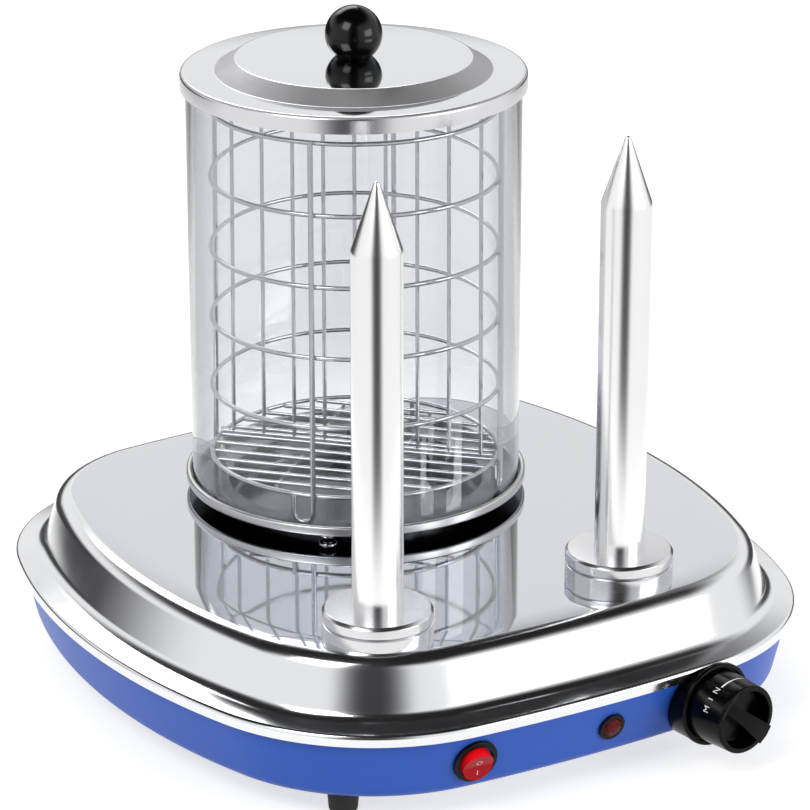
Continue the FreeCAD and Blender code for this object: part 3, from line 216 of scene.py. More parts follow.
turned = {}
for side, (x, y) in SPIKES.items():
    spot = on_axis(x, y)
    turned[side] = {
        "rod": tooled_metal("turned aluminium rod " + side, "F2F2F3", 0.2, "level", strength=0.1),
        "disc": tooled_metal(
            "turned aluminium disc " + side, "D6D6D8", 0.2, "round", (spot.x, spot.y),
            DISC_MARK_MM, strength=0.5,
        ),
    }
# The dish's steel is painted dark: painted shade for its shaded well; the rim keeps bright steel.
painted_shade_tray_metal = tooled_metal(
    "spun stainless tray with painted shade", "6E6F72", 0.15, "round", (AXIS.x, AXIS.y), strength=0.12,
)
rim_metal = tooled_metal("rolled and brushed tray rim", "C6C6C8", 0.3, "level", strength=0.2)
plain_steel = tooled_metal("zinc plated steel", "B4B5B5", 0.34, "level")
cast_metal = tooled_metal("cast aluminium", "A9AAAB", 0.5, "level", strength=0.1)
print("finishes so far:", len(bpy.data.materials))

# %% [markdown]
# The basket is spot welded from drawn stainless wire. Drawing leaves the wire bright and smooth,
# so it is close to a mirror with a soft edge to its highlights.

# %% Drawn wire
wire_steel = polished_steel("bright drawn wire", "BEBFC1", 0.11, 0.02)
print("wire finish:", wire_steel.name)

# %% [markdown]
# The lower housing is steel coated with blue stoving enamel. Enamel has its colour under a clear
# glossy skin with a faint orange peel, so the shader gets a coat and a very shallow fine bump.

# %% Blue enamel
enamel, tree, shader = new_material("blue stoving enamel")
set_sockets(
    shader, Base_Color=linear("3062CC"), Roughness=0.45, IOR=1.4,
    Coat_Weight=0.08, Coat_Roughness=0.1,
)
peel = add_node(
    tree, "ShaderNodeTexNoise", Vector=object_position(tree), Scale=700.0, Detail=1.0,
)
skin = add_node(tree, "ShaderNodeBump", Height=peel.outputs[0], Strength=0.05, Distance=0.3 * MM)
tree.links.new(skin.outputs[0], shader.inputs["Normal"])
print("orange peel patches to the metre:", peel.inputs["Scale"].default_value)

# %% [markdown]
# The black pieces are three plastics: a glossy phenolic for the ball knob, a deep black ABS for the
# dial and its collar, and a duller nylon for the bezels. All have a fine moulded grain, which only
# shows as a soft, uneven gloss. Black plastic in a white room is mostly the gloss, so its specular
# level sets how dark it looks.

# %% Black and pale plastics, and rubber
def moulded(name, colour, roughness, grain_mm, bump_strength, shine=0.5):
    """Plastic or rubber with the grain that its mould gave it."""
    material, tree, shader = new_material(name)
    set_sockets(shader, Base_Color=linear(colour), IOR=1.5, Specular_IOR_Level=shine)
    place = object_position(tree)
    grain = add_node(
        tree, "ShaderNodeTexNoise", Vector=place, Scale=patches_of(grain_mm), Detail=2.0,
    )
    level = add_node(
        tree, "ShaderNodeMapRange", Value=grain.outputs[0],
        _3=roughness * 0.8, _4=roughness * 1.2,
    )
    tree.links.new(level.outputs[0], shader.inputs["Roughness"])
    bump = add_node(
        tree, "ShaderNodeBump", Height=grain.outputs[0], Strength=bump_strength, Distance=0.2 * MM,
    )
    tree.links.new(bump.outputs[0], shader.inputs["Normal"])
    return material


black_gloss = moulded("black phenolic", "050506", 0.16, 3.0, 0.02, shine=0.3)
black_dial = moulded("black dial plastic", "040405", 0.22, 2.0, 0.02, shine=0.12)
black_satin = moulded("black nylon", "08080A", 0.34, 0.8, 0.06, shine=0.16)
black_rubber = moulded("black rubber", "141414", 0.7, 0.6, 0.15)
pale_plastic = moulded("pale heatproof plastic", "D8D2C2", 0.55, 0.8, 0.08)
white_print = moulded("white pad print", "F2F2F0", 0.5, 1.0, 0.02)
print("finishes so far:", len(bpy.data.materials))

# %% [markdown]
# The rocker and the lamp lens are translucent red. The rocker's colour is painted brighter where it
# faces up, a painted highlight for the light that comes through the plastic from above, and both
# have a faint painted glow in their own colour. The lens is moulded in small facets, which a cell
# pattern gives to its surface.

# %% Red plastics
def red_plastic(name, colour, roughness, glow):
    """Red plastic with a faint painted glow in its own colour."""
    material, tree, shader = new_material(name)
    # The emission is a faint painted glow in the plastic's own colour.
    set_sockets(
        shader, Base_Color=linear(colour), Roughness=roughness, IOR=1.5, Specular_IOR_Level=0.12,
        Emission_Color=linear(colour), Emission_Strength=glow,
    )
    return material, tree, shader


rocker_red, tree, shader = red_plastic("translucent red rocker", "E8101A", 0.22, 0.12)
cloud = add_node(
    tree, "ShaderNodeTexNoise", Vector=object_position(tree), Scale=260.0, Detail=1.0,
)
facing = add_node(
    tree, "ShaderNodeSeparateXYZ",
    Vector=add_node(tree, "ShaderNodeTexCoord").outputs["Normal"],
)
# Faces that point up are painted a brighter red: a painted highlight for light from above.
faces_up_painted_light = add_node(
    tree, "ShaderNodeMapRange", Value=facing.outputs[2], _1=0.1, _2=0.8, _3=0.0, _4=1.0,
)
deep = add_node(
    tree, "ShaderNodeMix", {"data_type": "RGBA"},
    Factor=cloud.outputs[0], A=linear("B00816"), B=linear("980612"),
)
painted_light_red = add_node(
    tree, "ShaderNodeMix", {"data_type": "RGBA"},
    Factor=faces_up_painted_light.outputs[0], A=deep.outputs[2], B=linear("F4101A"),
)
tree.links.new(painted_light_red.outputs[2], shader.inputs["Base Color"])

lens_red, tree, shader = red_plastic("dark red lens", "5C060A", 0.25, 0.02)
cells = add_node(
    tree, "ShaderNodeTexVoronoi", {"feature": "F1"},
    Vector=object_position(tree), Scale=900.0,
)
facets = add_node(tree, "ShaderNodeBump", Height=cells.outputs[0], Strength=0.7, Distance=0.5 * MM)
tree.links.new(facets.outputs[0], shader.inputs["Normal"])
print("lens facets to the metre:", cells.inputs["Scale"].default_value)

# %% [markdown]
# The cylinder is clear borosilicate glass with a 3 mm wall. A real refracting shader bends what
# stands inside a little. Light for the shadows passes straight through, as it nearly does through
# thin clean glass, so that the basket isn't left in the dark. Where the eye looks along the wall
# the
# colour is painted darker: partly the faint tint of the melt, which shows more where the eye sees
# more glass, and partly painted shade for the dark edges of the tube.

# %% Clear glass
glass, tree, shader = new_material("clear borosilicate glass")
set_sockets(shader, IOR=1.47, Transmission_Weight=1.0)
upright = object_position(tree, scale=(1, 1, 4))
smear = add_node(tree, "ShaderNodeTexNoise", Vector=upright, Scale=30.0, Detail=2.0)
film = add_node(tree, "ShaderNodeMapRange", Value=smear.outputs[0], _3=0.0, _4=0.02)
tree.links.new(film.outputs[0], shader.inputs["Roughness"])
# Where the eye looks along the wall, the colour is painted darker: the melt's tint and painted
# shade.
slant = add_node(tree, "ShaderNodeLayerWeight", Blend=0.5)
painted_edge_shade = add_node(tree, "ShaderNodeMapRange", Value=slant.outputs["Facing"], _1=0.42, _2=0.92)
tint_and_edge_shade = add_node(
    tree, "ShaderNodeMix", {"data_type": "RGBA"},
    Factor=painted_edge_shade.outputs[0], A=linear("EFF0F3"), B=linear("848A92"),
)
tree.links.new(tint_and_edge_shade.outputs[2], shader.inputs["Base Color"])
rays = add_node(tree, "ShaderNodeLightPath")
through = add_node(tree, "ShaderNodeBsdfTransparent", Color=linear("F6F8F8"))
pass_light = add_node(
    tree, "ShaderNodeMixShader", _0=rays.outputs["Is Shadow Ray"],
    _1=shader.outputs[0], _2=through.outputs[0],
)
show_on(tree, pass_light.outputs[0])
print("materials:", len(bpy.data.materials))

# %% [markdown]
# Most pieces are turned shapes. The outline is drawn as a few corner points, the corners that are
# rounded on the real piece are bevelled, and the outline is spun round its axis. Every finished
# piece rides on its body, and the imported nodes that it stands for are hidden.

# %% Draw and spin an outline
def outline(bm, points, rounds=None):
    """Wire through (radius, height) points; rounds maps a point's index to its corner radius."""
    spots = [Vector((x * MM, 0.0, z * MM)) for x, z in points]
    verts = [bm.verts.new(spot) for spot in spots]
    for first, second in zip(verts, verts[1:]):
        bm.edges.new((first, second))
    for index, radius in sorted((rounds or {}).items()):
        before = spots[index - 1] - spots[index]
        after = spots[index + 1] - spots[index]
        turn = math.pi - before.angle(after)
        bmesh.ops.bevel(
            bm, geom=[verts[index]], offset=radius * MM * math.tan(turn / 2), offset_type="OFFSET",
            affect="VERTICES", segments=8, profile=0.5, material=-1, clamp_overlap=False,
        )
    return bm


def to_object(bm, name):
    """Turns the bmesh into an object at the origin and frees it."""
    mesh = bpy.data.meshes.new(name)
    bm.to_mesh(mesh)
    bm.free()
    piece = bpy.data.objects.new(name, mesh)
    bpy.context.scene.collection.objects.link(piece)
    return piece


def spin_piece(name, points, rounds=None, place=(0, 0, 0), steps=96):
    """Turned piece about the vertical through a place; an outline off the axis is closed first."""
    bm = bmesh.new()
    outline(bm, points, rounds)
    ends = [vert for vert in bm.verts if len(vert.link_edges) == 1]
    if min(abs(end.co.x) for end in ends) > MERGE:
        bm.edges.new(ends)
    bmesh.ops.spin(
        bm, geom=bm.verts[:] + bm.edges[:], cent=(0, 0, 0), axis=(0, 0, 1),
        angle=2 * math.pi, steps=steps, use_merge=True, use_duplicate=False,
    )
    bmesh.ops.remove_doubles(bm, verts=bm.verts, dist=MERGE)
    bmesh.ops.recalc_face_normals(bm, faces=bm.faces)
    bmesh.ops.translate(bm, verts=bm.verts, vec=Vector(place) * MM)
    return to_object(bm, name)


def finish_piece(piece, material, body, nodes=(), smooth=30.0):
    """Shading, material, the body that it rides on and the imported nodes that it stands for."""
    piece.data.materials.clear()
    piece.data.materials.append(material)
    piece.data.shade_smooth()
    if smooth is not None:
        piece.data.set_sharp_from_angle(angle=math.radians(smooth))
    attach(piece, body)
    if nodes:
        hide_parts(*nodes)
    print(piece.name, len(piece.data.polygons), "faces")
    return piece


def second_finish(piece, material, chosen):
    """Gives a finish of their own to the faces for which chosen(face) is true."""
    piece.data.materials.append(material)
    for face in piece.data.polygons:
        if chosen(face):
            face.material_index = len(piece.data.materials) - 1


def is_drawn(face):
    """A press leaves every face that isn't level a little duller."""
    return abs(face.normal.z) < 0.9995


print("helpers ready for", len(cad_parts), "packed nodes")

# %% [markdown]
# The plan of the base is a rounded trapezium of eight tangent arcs. A vertex spun about each arc's
# centre draws the loop. Every vertex remembers the way out of its arc, because an arc that is
# moved inwards keeps its centre: that makes each level of the pressed cover an exact offset.

# %% The plan outline
HALF_WIDTH, FRONT, BACK, SIDE_CENTRE = 182.0, 232.0, 137.0, 43.0
RADII = {"front": 900.0, "side": 360.0, "back": 830.0, "front corner": 108.0, "back corner": 98.0}


def corner_centre(middle, reach, radius):
    """Centre of the corner circle that touches the side arc and the front or back arc inside."""
    side = Vector((HALF_WIDTH - RADII["side"], -SIDE_CENTRE))
    run = side - middle
    near, far = reach - radius, RADII["side"] - radius
    along = (near**2 - far**2 + run.length_squared) / (2 * run.length)
    off = math.sqrt(near**2 - along**2)
    aside = Vector((-run.y, run.x)).normalized() * off
    found = [middle + run.normalized() * along + aside * sign for sign in (1, -1)]
    return max(found, key=lambda point: point.x)


front_middle = Vector((0, RADII["front"] - FRONT))
back_middle = Vector((0, BACK - RADII["back"]))
side_middle = Vector((HALF_WIDTH - RADII["side"], -SIDE_CENTRE))
front_corner = corner_centre(front_middle, RADII["front"], RADII["front corner"])
back_corner = corner_centre(back_middle, RADII["back"], RADII["back corner"])


def left(point):
    """The same point on the left half."""
    return Vector((-point.x, point.y))


def heading(start, end):
    """The direction from one centre to the other, as an angle."""
    run = end - start
    return math.atan2(run.y, run.x)


centres = [
    (front_middle, "front", 40), (front_corner, "front corner", 36), (side_middle, "side", 36),
    (back_corner, "back corner", 36), (back_middle, "back", 40),
    (left(back_corner), "back corner", 36), (left(side_middle), "side", 36),
    (left(front_corner), "front corner", 36),
]
bends = []
for index, (centre, name, steps) in enumerate(centres):
    following = centres[(index + 1) % len(centres)][0]
    wide, tight = (following, centre) if "corner" in name else (centre, following)
    bends.append(heading(wide, tight))
PLAN_ARCS = [
    (centre, RADII[name], bends[index - 1], bends[index], steps)
    for index, (centre, name, steps) in enumerate(centres)
]


def chain_from(vert):
    """The vertices of a wire in order, from the one at its end."""
    chain = [vert]
    while True:
        ahead = [edge.other_vert(chain[-1]) for edge in chain[-1].link_edges]
        ahead = [item for item in ahead if item not in chain]
        if not ahead:
            return chain
        chain.append(ahead[0])


def plan_loop(bm, inset, level):
    """Draws the plan outline as a loop of vertices at a level; returns them with their ways out."""
    loop = []
    for centre, radius, start, end, steps in PLAN_ARCS:
        while end < start:
            end += 2 * math.pi
        middle = on_axis(centre.x, centre.y, level) * MM
        reach = (radius - inset) * MM
        first = bm.verts.new(middle + Vector((math.cos(start), math.sin(start), 0)) * reach)
        bmesh.ops.spin(
            bm, geom=[first], cent=middle, axis=(0, 0, 1), angle=end - start, steps=steps,
            use_duplicate=False,
        )
        chain = chain_from(first)
        for vert in chain[:-1]:
            loop.append((vert, (vert.co - middle).normalized()))
        bmesh.ops.delete(bm, geom=[chain[-1]], context="VERTS")
    verts = [vert for vert, way in loop]
    for first, second in zip(verts, verts[1:] + verts[:1]):
        if not any(edge.other_vert(first) is second for edge in first.link_edges):
            bm.edges.new((first, second))
    return loop


def press_wall(bm, profile):
    """Pulls the plan outline through (inset, height) points; returns its last vertices in order."""
    loop = plan_loop(bm, *profile[0])
    for (inset, level), (next_inset, next_level) in zip(profile, profile[1:]):
        old = {vert for vert, way in loop}
        edges = [edge for edge in bm.edges if all(vert in old for vert in edge.verts)]
        made = bmesh.ops.extrude_edge_only(bm, edges=edges)
        new = [item for item in made["geom"] if isinstance(item, bmesh.types.BMVert)]
        partner = {}
        for vert in new:
            for edge in vert.link_edges:
                other = edge.other_vert(vert)
                if other not in new:
                    partner[other] = vert
        rise = Vector((0, 0, (next_level - level) * MM))
        moved = []
        for vert, way in loop:
            fresh = partner[vert]
            fresh.co = vert.co - way * (next_inset - inset) * MM + rise
            moved.append((fresh, way))
        loop = moved
    return [vert for vert, way in loop]


def rounded(points, rounds):
    """The points of an outline once its corners are bevelled, in order, in millimetres."""
    bm = bmesh.new()
    outline(bm, points, rounds)
    first = Vector((points[0][0] * MM, 0, points[0][1] * MM))
    ends = [vert for vert in bm.verts if len(vert.link_edges) == 1]
    start = min(ends, key=lambda vert: (vert.co - first).length)
    found = [(vert.co.x / MM, vert.co.z / MM) for vert in chain_from(start)]
    bm.free()
    return found


print("front corners at", tuple(front_corner), "back corners at", tuple(back_corner))

# %% [markdown]
# The cover is one pressed sheet: an upright hem, a nearly flat flange, a leaning wall with a soft
# foot, and a flat top. The loop is pulled through that section, the top is filled round the holes
# for the tray and the spikes, and the sheet gets its 1 mm thickness at the end. What the press drew
# is a little duller than the flat top, so it has a finish of its own.

# %% Pressed cover
HEM_LOW, HEM_TOP, FLANGE_TOP, FLANGE_IN, WALL_LEAN = 44.7, 50.3, 52.3, 14.5, 17.5
TRAY_HOLE, SHANK_HOLE, COVER_SHEET = 67.7, 9.2, 1.0
wall_in = FLANGE_IN + (PLATE - FLANGE_TOP) * math.tan(math.radians(WALL_LEAN))
section = rounded(
    [(0, HEM_LOW), (0, HEM_TOP), (FLANGE_IN, FLANGE_TOP), (wall_in, PLATE), (44.0, PLATE)],
    {1: 2.2, 2: 7.0, 3: 9.0},
)
bm = bmesh.new()
top_verts = press_wall(bm, section)
rim_edges = [bm.edges.get(pair) for pair in zip(top_verts, top_verts[1:] + top_verts[:1])]
holes = [(AXIS, TRAY_HOLE, 96)] + [(on_axis(x, y), SHANK_HOLE, 32) for x, y in SPIKES.values()]
for spot, radius, count in holes:
    ring = bmesh.ops.create_circle(
        bm, segments=count, radius=radius * MM,
        matrix=Matrix.Translation((spot.x * MM, spot.y * MM, PLATE * MM)),
    )["verts"]
    rim_edges += list({edge for vert in ring for edge in vert.link_edges})
bmesh.ops.triangle_fill(bm, edges=rim_edges, use_beauty=True, normal=(0, 0, 1))
bmesh.ops.recalc_face_normals(bm, faces=bm.faces)
if max(bm.faces, key=lambda face: face.calc_center_median().z).normal.z < 0:
    bmesh.ops.reverse_faces(bm, faces=bm.faces)
bmesh.ops.solidify(bm, geom=bm.faces[:], thickness=COVER_SHEET * MM)
cover = to_object(bm, "pressed_cover")
finish_piece(cover, mirror_steel, "base", ["top_cover"], smooth=35.0)
second_finish(cover, drawn_steel, is_drawn)

# %% [markdown]
# The housing below is drawn the same way, upside down: its wall leans in from just inside the hem,
# turns under in a generous round, and ends in a flat flange that the bottom plate is screwed to.

# %% Enamelled housing
HOUSING_IN, HOUSING_TOP, HOUSING_LOW, HOUSING_LEAN, HOUSING_SHEET = 2.3, 49.0, 12.0, 13.0, 1.2
foot_in = HOUSING_IN + (HOUSING_TOP - HOUSING_LOW) * math.tan(math.radians(HOUSING_LEAN))
section = rounded(
    [(HOUSING_IN, HOUSING_TOP), (foot_in, HOUSING_LOW), (40.0, HOUSING_LOW)], {1: 7.0},
)
bm = bmesh.new()
press_wall(bm, section)
bmesh.ops.recalc_face_normals(bm, faces=bm.faces)
low_face = min(bm.faces, key=lambda face: face.calc_center_median().z)
if low_face.normal.z > 0:
    bmesh.ops.reverse_faces(bm, faces=bm.faces)
bmesh.ops.solidify(bm, geom=bm.faces[:], thickness=HOUSING_SHEET * MM)
housing = to_object(bm, "enamelled_housing")
finish_piece(housing, enamel, "base", ["base_housing"], smooth=35.0)

# %% [markdown]
# The spikes are turned from bar: a long plain rod, a cone, and a small shank that goes through the
# disc. The disc has a groove round its middle and a bevelled edge.

# %% Bun spikes and their discs
for side, (x, y) in SPIKES.items():
    spot = on_axis(x, y)
    rod = spin_piece(
        "bun_spike_" + side,
        [(0, 66), (9, 66), (9, 92.7), (12.4, 92.7), (12.4, 271.2), (1.1, 304.2), (0, 304.2)],
        {4: 6.0, 5: 0.8}, place=spot,
    )
    finish_piece(rod, turned[side]["rod"], "base", ["spike_" + side])
    disc = spin_piece(
        "spike_disc_" + side,
        [
            (9.2, 80), (26.7, 80), (26.7, 85.55), (25.1, 86.35), (26.7, 87.15),
            (26.7, 91.3), (25.3, 92.7), (9.2, 92.7),
        ],
        {5: 0.4, 6: 0.4}, place=spot, steps=128,
    )
    finish_piece(disc, turned[side]["disc"], "base", ["spike_base_" + side])

# %% [markdown]
# The water tray is spun sheet with a rolled rim. The glass stands on its ledge, and the well in
# the middle dips through the cover to the heater. The dish's steel is painted dark, as painted
# shade for the shaded well and the dark that it reflects. The rim is brushed round its outside and
# keeps the bright steel, so the faces beyond its inner edge have their own finish. Three rivet
# heads keep the tray off the cover.

# %% Water tray and its rivet feet
TRAY_LEDGE, RIM_IN, RIM_OUT = 86.4, 85.6, 88.3
tray = spin_piece(
    "water_tray_dish",
    [
        (0, 71.4), (66.5, 71.4), (66.5, 85.4), (RIM_OUT, 85.4), (RIM_OUT, 90.5), (RIM_IN, 90.5),
        (RIM_IN, TRAY_LEDGE), (65.5, TRAY_LEDGE), (65.5, 72.4), (0, 72.4),
    ],
    {1: 5.0, 3: 1.2, 4: 1.2, 5: 1.2, 8: 4.0}, place=AXIS, steps=160,
)
finish_piece(tray, painted_shade_tray_metal, "base", ["water_tray"])
RIM_FINISH = 85.7 * MM
second_finish(tray, rim_metal, lambda face: (face.center - AXIS * MM).to_2d().length > RIM_FINISH)
RIVET_CIRCLE, RIVET_LEVEL = 77.0, 82.6
bm = bmesh.new()
for step in range(3):
    angle = math.radians(-41.0 + 120 * step)
    spot = on_axis(
        RIVET_CIRCLE * math.sin(angle), -RIVET_CIRCLE * math.cos(angle), RIVET_LEVEL,
    ) * MM
    bmesh.ops.create_uvsphere(
        bm, u_segments=40, v_segments=20, radius=4.9 * MM,
        matrix=Matrix.Translation(spot) @ Matrix.Diagonal((1, 1, 0.53, 1)),
    )
feet = to_object(bm, "tray_rivet_feet")
finish_piece(feet, wire_steel, "base", ["tray_feet"])

# %% [markdown]
# The glass is an open tube with fire-polished ends, 3 mm thick.

# %% Glass cylinder
tube = spin_piece(
    "glass_tube",
    [(82, 86.7), (85, 86.7), (85, 302.5), (82, 302.5)],
    {1: 0.8, 2: 1.2}, place=AXIS, steps=192,
)
finish_piece(tube, glass, "glass", ["glass_cylinder"])

# %% [markdown]
# The lid is pressed from the same bright sheet: a short skirt, a flat margin, a cone and a raised
# centre. Its drawn faces are duller than the flat ones, and the cone is brushed. The ball knob is
# moulded and screwed on from below, so it is a sphere with a flat cut at its foot.

# %% Lid and ball knob
lid = spin_piece(
    "pressed_lid",
    [
        (2.2, 309.3), (60, 309.3), (70, 302.8), (86.4, 302.8), (86.4, 295.6), (87.6, 295.6),
        (87.6, 304.0), (70, 304.0), (60, 310.5), (2.2, 310.5),
    ],
    {1: 1.5, 2: 2.0, 6: 1.8, 7: 1.6, 8: 1.6}, place=AXIS, steps=192,
)
finish_piece(lid, mirror_lid, "lid", ["lid_plate"])
second_finish(lid, drawn_lid, is_drawn)
second_finish(lid, brushed_lid, lambda face: 0.5 < abs(face.normal.z) < 0.95)
BALL_RADIUS, BALL_LEVEL, BALL_FOOT = 14.5, 322.0, 310.52
bm = bmesh.new()
bmesh.ops.create_uvsphere(
    bm, u_segments=96, v_segments=64, radius=BALL_RADIUS * MM,
    matrix=Matrix.Translation((AXIS + Vector((0, 0, BALL_LEVEL))) * MM),
)
bmesh.ops.bisect_plane(
    bm, geom=bm.verts[:] + bm.edges[:] + bm.faces[:],
    plane_co=(0, 0, BALL_FOOT * MM), plane_no=(0, 0, 1), clear_inner=True,
)
bmesh.ops.holes_fill(bm, edges=[edge for edge in bm.edges if edge.is_boundary])
ball = to_object(bm, "ball_knob")
finish_piece(ball, black_gloss, "lid", ["lid_knob"])

# %% [markdown]
# A wire is a round section pulled along a path. A curve with a bevel does just that, and it is
# turned into a mesh at once, so that the piece is an ordinary closed mesh.

# %% Wire helper
BASKET_TURN = math.radians(46.5)


def wire_mesh(bm, points, radius):
    """Adds a wire along points (millimetres) to a bmesh."""
    curve = bpy.data.curves.new("wire", "CURVE")
    curve.dimensions = "3D"
    curve.bevel_depth = radius * MM
    curve.bevel_resolution = 4
    curve.use_fill_caps = True
    line = curve.splines.new("POLY")
    line.points.add(len(points) - 1)
    for spot, point in zip(line.points, points):
        spot.co = (*(Vector(point) * MM), 1.0)
    holder = bpy.data.objects.new("wire", curve)
    mesh = bpy.data.meshes.new_from_object(holder)
    bm.from_mesh(mesh)
    bpy.data.objects.remove(holder)
    bpy.data.curves.remove(curve)
    bpy.data.meshes.remove(mesh)


def turned_point(radius, angle, height):
    """A point of the basket: the whole basket is turned on the glass axis."""
    angle -= BASKET_TURN
    return AXIS + Vector((radius * math.cos(angle), radius * math.sin(angle), height))


def in_basket(x, y, height):
    """The same, given along the divider and across it."""
    return turned_point(math.hypot(x, y), math.atan2(y, x), height)


def finish_wires(bm, name, node):
    """Bright wire that is lifted with the basket."""
    finish_piece(to_object(bm, name), wire_steel, "basket", [node], smooth=60)


print("basket turned by", round(math.degrees(BASKET_TURN), 1), "degrees")

# %% [markdown]
# Six rings, four uprights with bent feet, a floor of parallel wires and a divider make the basket.
# The rings are spun from a circle, which keeps them perfectly round.

# %% Wire basket
FIRST_RING, RING_PITCH, RING = 101.6, 37.0, 73.7
RING_WIRE, POST_WIRE, FLOOR_WIRE, DIVIDER_WIRE = 1.2, 1.4, 1.1, 1.05
WELD_GAP, LEDGE_GAP = 0.05, 0.3
for step in range(6):
    bm = bmesh.new()
    bmesh.ops.create_circle(
        bm, segments=14, radius=RING_WIRE * MM,
        matrix=Matrix.Translation((RING * MM, 0, 0)) @ Matrix.Rotation(math.pi / 2, 4, "X"),
    )
    bmesh.ops.spin(
        bm, geom=bm.verts[:] + bm.edges[:], cent=(0, 0, 0), axis=(0, 0, 1),
        angle=2 * math.pi, steps=144, use_merge=True, use_duplicate=False,
    )
    bmesh.ops.remove_doubles(bm, verts=bm.verts, dist=MERGE)
    bmesh.ops.recalc_face_normals(bm, faces=bm.faces)
    place = AXIS + Vector((0, 0, FIRST_RING + RING_PITCH * step))
    bmesh.ops.translate(bm, verts=bm.verts, vec=place * MM)
    finish_wires(bm, "wire_ring_%d" % (step + 1), "basket_ring_%d" % (step + 1))

FOOT_WIDTH, FOOT_BEND = 10.0, 3.4
top = FIRST_RING + 5 * RING_PITCH
reach = RING + RING_WIRE + WELD_GAP + POST_WIRE
sole = TRAY_LEDGE + LEDGE_GAP + POST_WIRE
for index in range(4):
    angle = math.pi / 2 * index
    back = angle - FOOT_WIDTH / reach
    path = [
        turned_point(reach, angle, top + RING_WIRE), turned_point(reach, angle, sole + FOOT_BEND),
    ]
    for part in range(1, 8):
        share = part / 8
        dip = 1 - math.sin(share * math.pi) ** 0.6
        height = sole + FOOT_BEND * dip
        path.append(turned_point(reach, angle + (back - angle) * share, height))
    path.append(turned_point(reach, back, sole + FOOT_BEND))
    path.append(turned_point(reach, back, FIRST_RING))
    bm = bmesh.new()
    wire_mesh(bm, path, POST_WIRE)
    finish_wires(bm, "wire_upright_%d" % (index + 1), "basket_upright_%d" % (index + 1))

FLOOR_PITCH, CROSS_WIRE_AT, CROSS_WIRE_DOWN = 12.0, 24.0, 1.98
inner = RING - RING_WIRE - WELD_GAP
bm = bmesh.new()
for step in range(-5, 6):
    y = step * FLOOR_PITCH
    half = math.sqrt(inner**2 - (abs(y) + FLOOR_WIRE) ** 2)
    wire_mesh(bm, [in_basket(x, y, FIRST_RING) for x in (-half, half)], FLOOR_WIRE)
for x in (-CROSS_WIRE_AT, CROSS_WIRE_AT):
    ends = [in_basket(x, y, FIRST_RING - CROSS_WIRE_DOWN) for y in (-60.0, 60.0)]
    wire_mesh(bm, ends, FLOOR_WIRE)
finish_wires(bm, "wire_floor", "basket_floor")

DIVIDER_PITCH = 16.6
half = math.sqrt(inner**2 - DIVIDER_WIRE**2)
low = FIRST_RING + FLOOR_WIRE + WELD_GAP + DIVIDER_WIRE
bm = bmesh.new()
for level in (low, top):
    wire_mesh(bm, [in_basket(x, 0, level) for x in (-half, half)], DIVIDER_WIRE)
for step in range(-4, 5):
    x = step * DIVIDER_PITCH
    wire_mesh(bm, [in_basket(x, 0, level) for level in (low, top)], DIVIDER_WIRE)
finish_wires(bm, "wire_divider", "basket_divider")

# %% [markdown]
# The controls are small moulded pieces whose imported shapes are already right. A copy of such a
# node's mesh is merged and its edges are softened, which gives the light something to catch.

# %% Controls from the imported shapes
def softened_copy(node, name, material, body, bevel=0.15, smooth=35.0):
    """Copy of a node's mesh with merged vertices and small bevels on its sharp edges."""
    bm = bmesh.new()
    bm.from_mesh(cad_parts[node].data)
    bmesh.ops.remove_doubles(bm, verts=bm.verts, dist=1e-3 * MM)
    bmesh.ops.dissolve_limit(
        bm, angle_limit=math.radians(1.0), verts=bm.verts, edges=bm.edges,
    )
    piece = to_object(bm, name)
    if bevel:
        soft = piece.modifiers.new("soft edges", "BEVEL")
        soft.width = bevel * MM
        soft.segments = 2
        soft.limit_method = "ANGLE"
        soft.angle_limit = math.radians(40)
    return finish_piece(piece, material, body, [node], smooth)


softened_copy("control_knob", "thermostat_dial", black_dial, "dial", 0.3)
softened_copy("dial_collar", "thermostat_collar", black_dial, "base", 0.2)
softened_copy("switch_body", "switch_bezel", black_satin, "base", 0.1)
softened_copy("switch_rocker", "switch_paddle", rocker_red, "rocker", 0.25)
softened_copy("lamp_holder", "lamp_bezel", black_satin, "base", 0.1)
softened_copy("lamp_lens", "lamp_cap", lens_red, "base", 0.1)
softened_copy("rubber_feet", "rubber_foot_set", black_rubber, "base", 0.5)
softened_copy("cord_gland", "cord_bush", black_satin, "base", 0.2)

# %% [markdown]
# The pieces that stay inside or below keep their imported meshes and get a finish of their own.

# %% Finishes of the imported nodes
PACKED = {
    "bottom_plate": plain_steel, "foot_screws": plain_steel, "cover_posts": cast_metal,
    "post_screws": plain_steel, "tray_heater": cast_metal, "heater_bridge": plain_steel,
    "heater_nut": plain_steel, "spike_heater_left": plain_steel, "spike_heater_right": plain_steel,
    "spike_nut_left": plain_steel, "spike_nut_right": plain_steel, "lamp_bulb": glass,
    "thermostat_body": pale_plastic, "thermostat_nut": plain_steel, "thermostat_shaft": plain_steel,
    "gland_nut": black_satin, "terminal_block": pale_plastic, "lid_screw": plain_steel,
}
for node, material in PACKED.items():
    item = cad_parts[node]
    item.data.materials.clear()
    item.data.materials.append(material)
print("packed nodes with a finish of their own:", len(PACKED))

# %% [markdown]
# A seat is a small local frame on the front wall: across, up and out. The printed marks are
# drawn flat in such a frame and then laid on the surface.

# %% Seats of the controls
def seat(place, across, up, outward):
    """The frame of a control: where it sits and how its own directions lie."""
    turn = Matrix((across, up, outward)).transposed().to_4x4()
    return Matrix.Translation(Vector(place) * MM) @ turn


switch_seat = seat(
    (-66.0, -162.3316, 29.0), (0.997266, -0.073901, 0), (-0.016624, -0.224336, 0.97437),
    (-0.072007, -0.971706, -0.224951),
)
dial_seat = seat(
    (65.5, -171.3044, 30.3), (0.994338, 0.106264, 0), (0, 0, 1), (0.106264, -0.994338, 0),
)
print("the rocker faces", tuple(switch_seat.col[2])[:3])

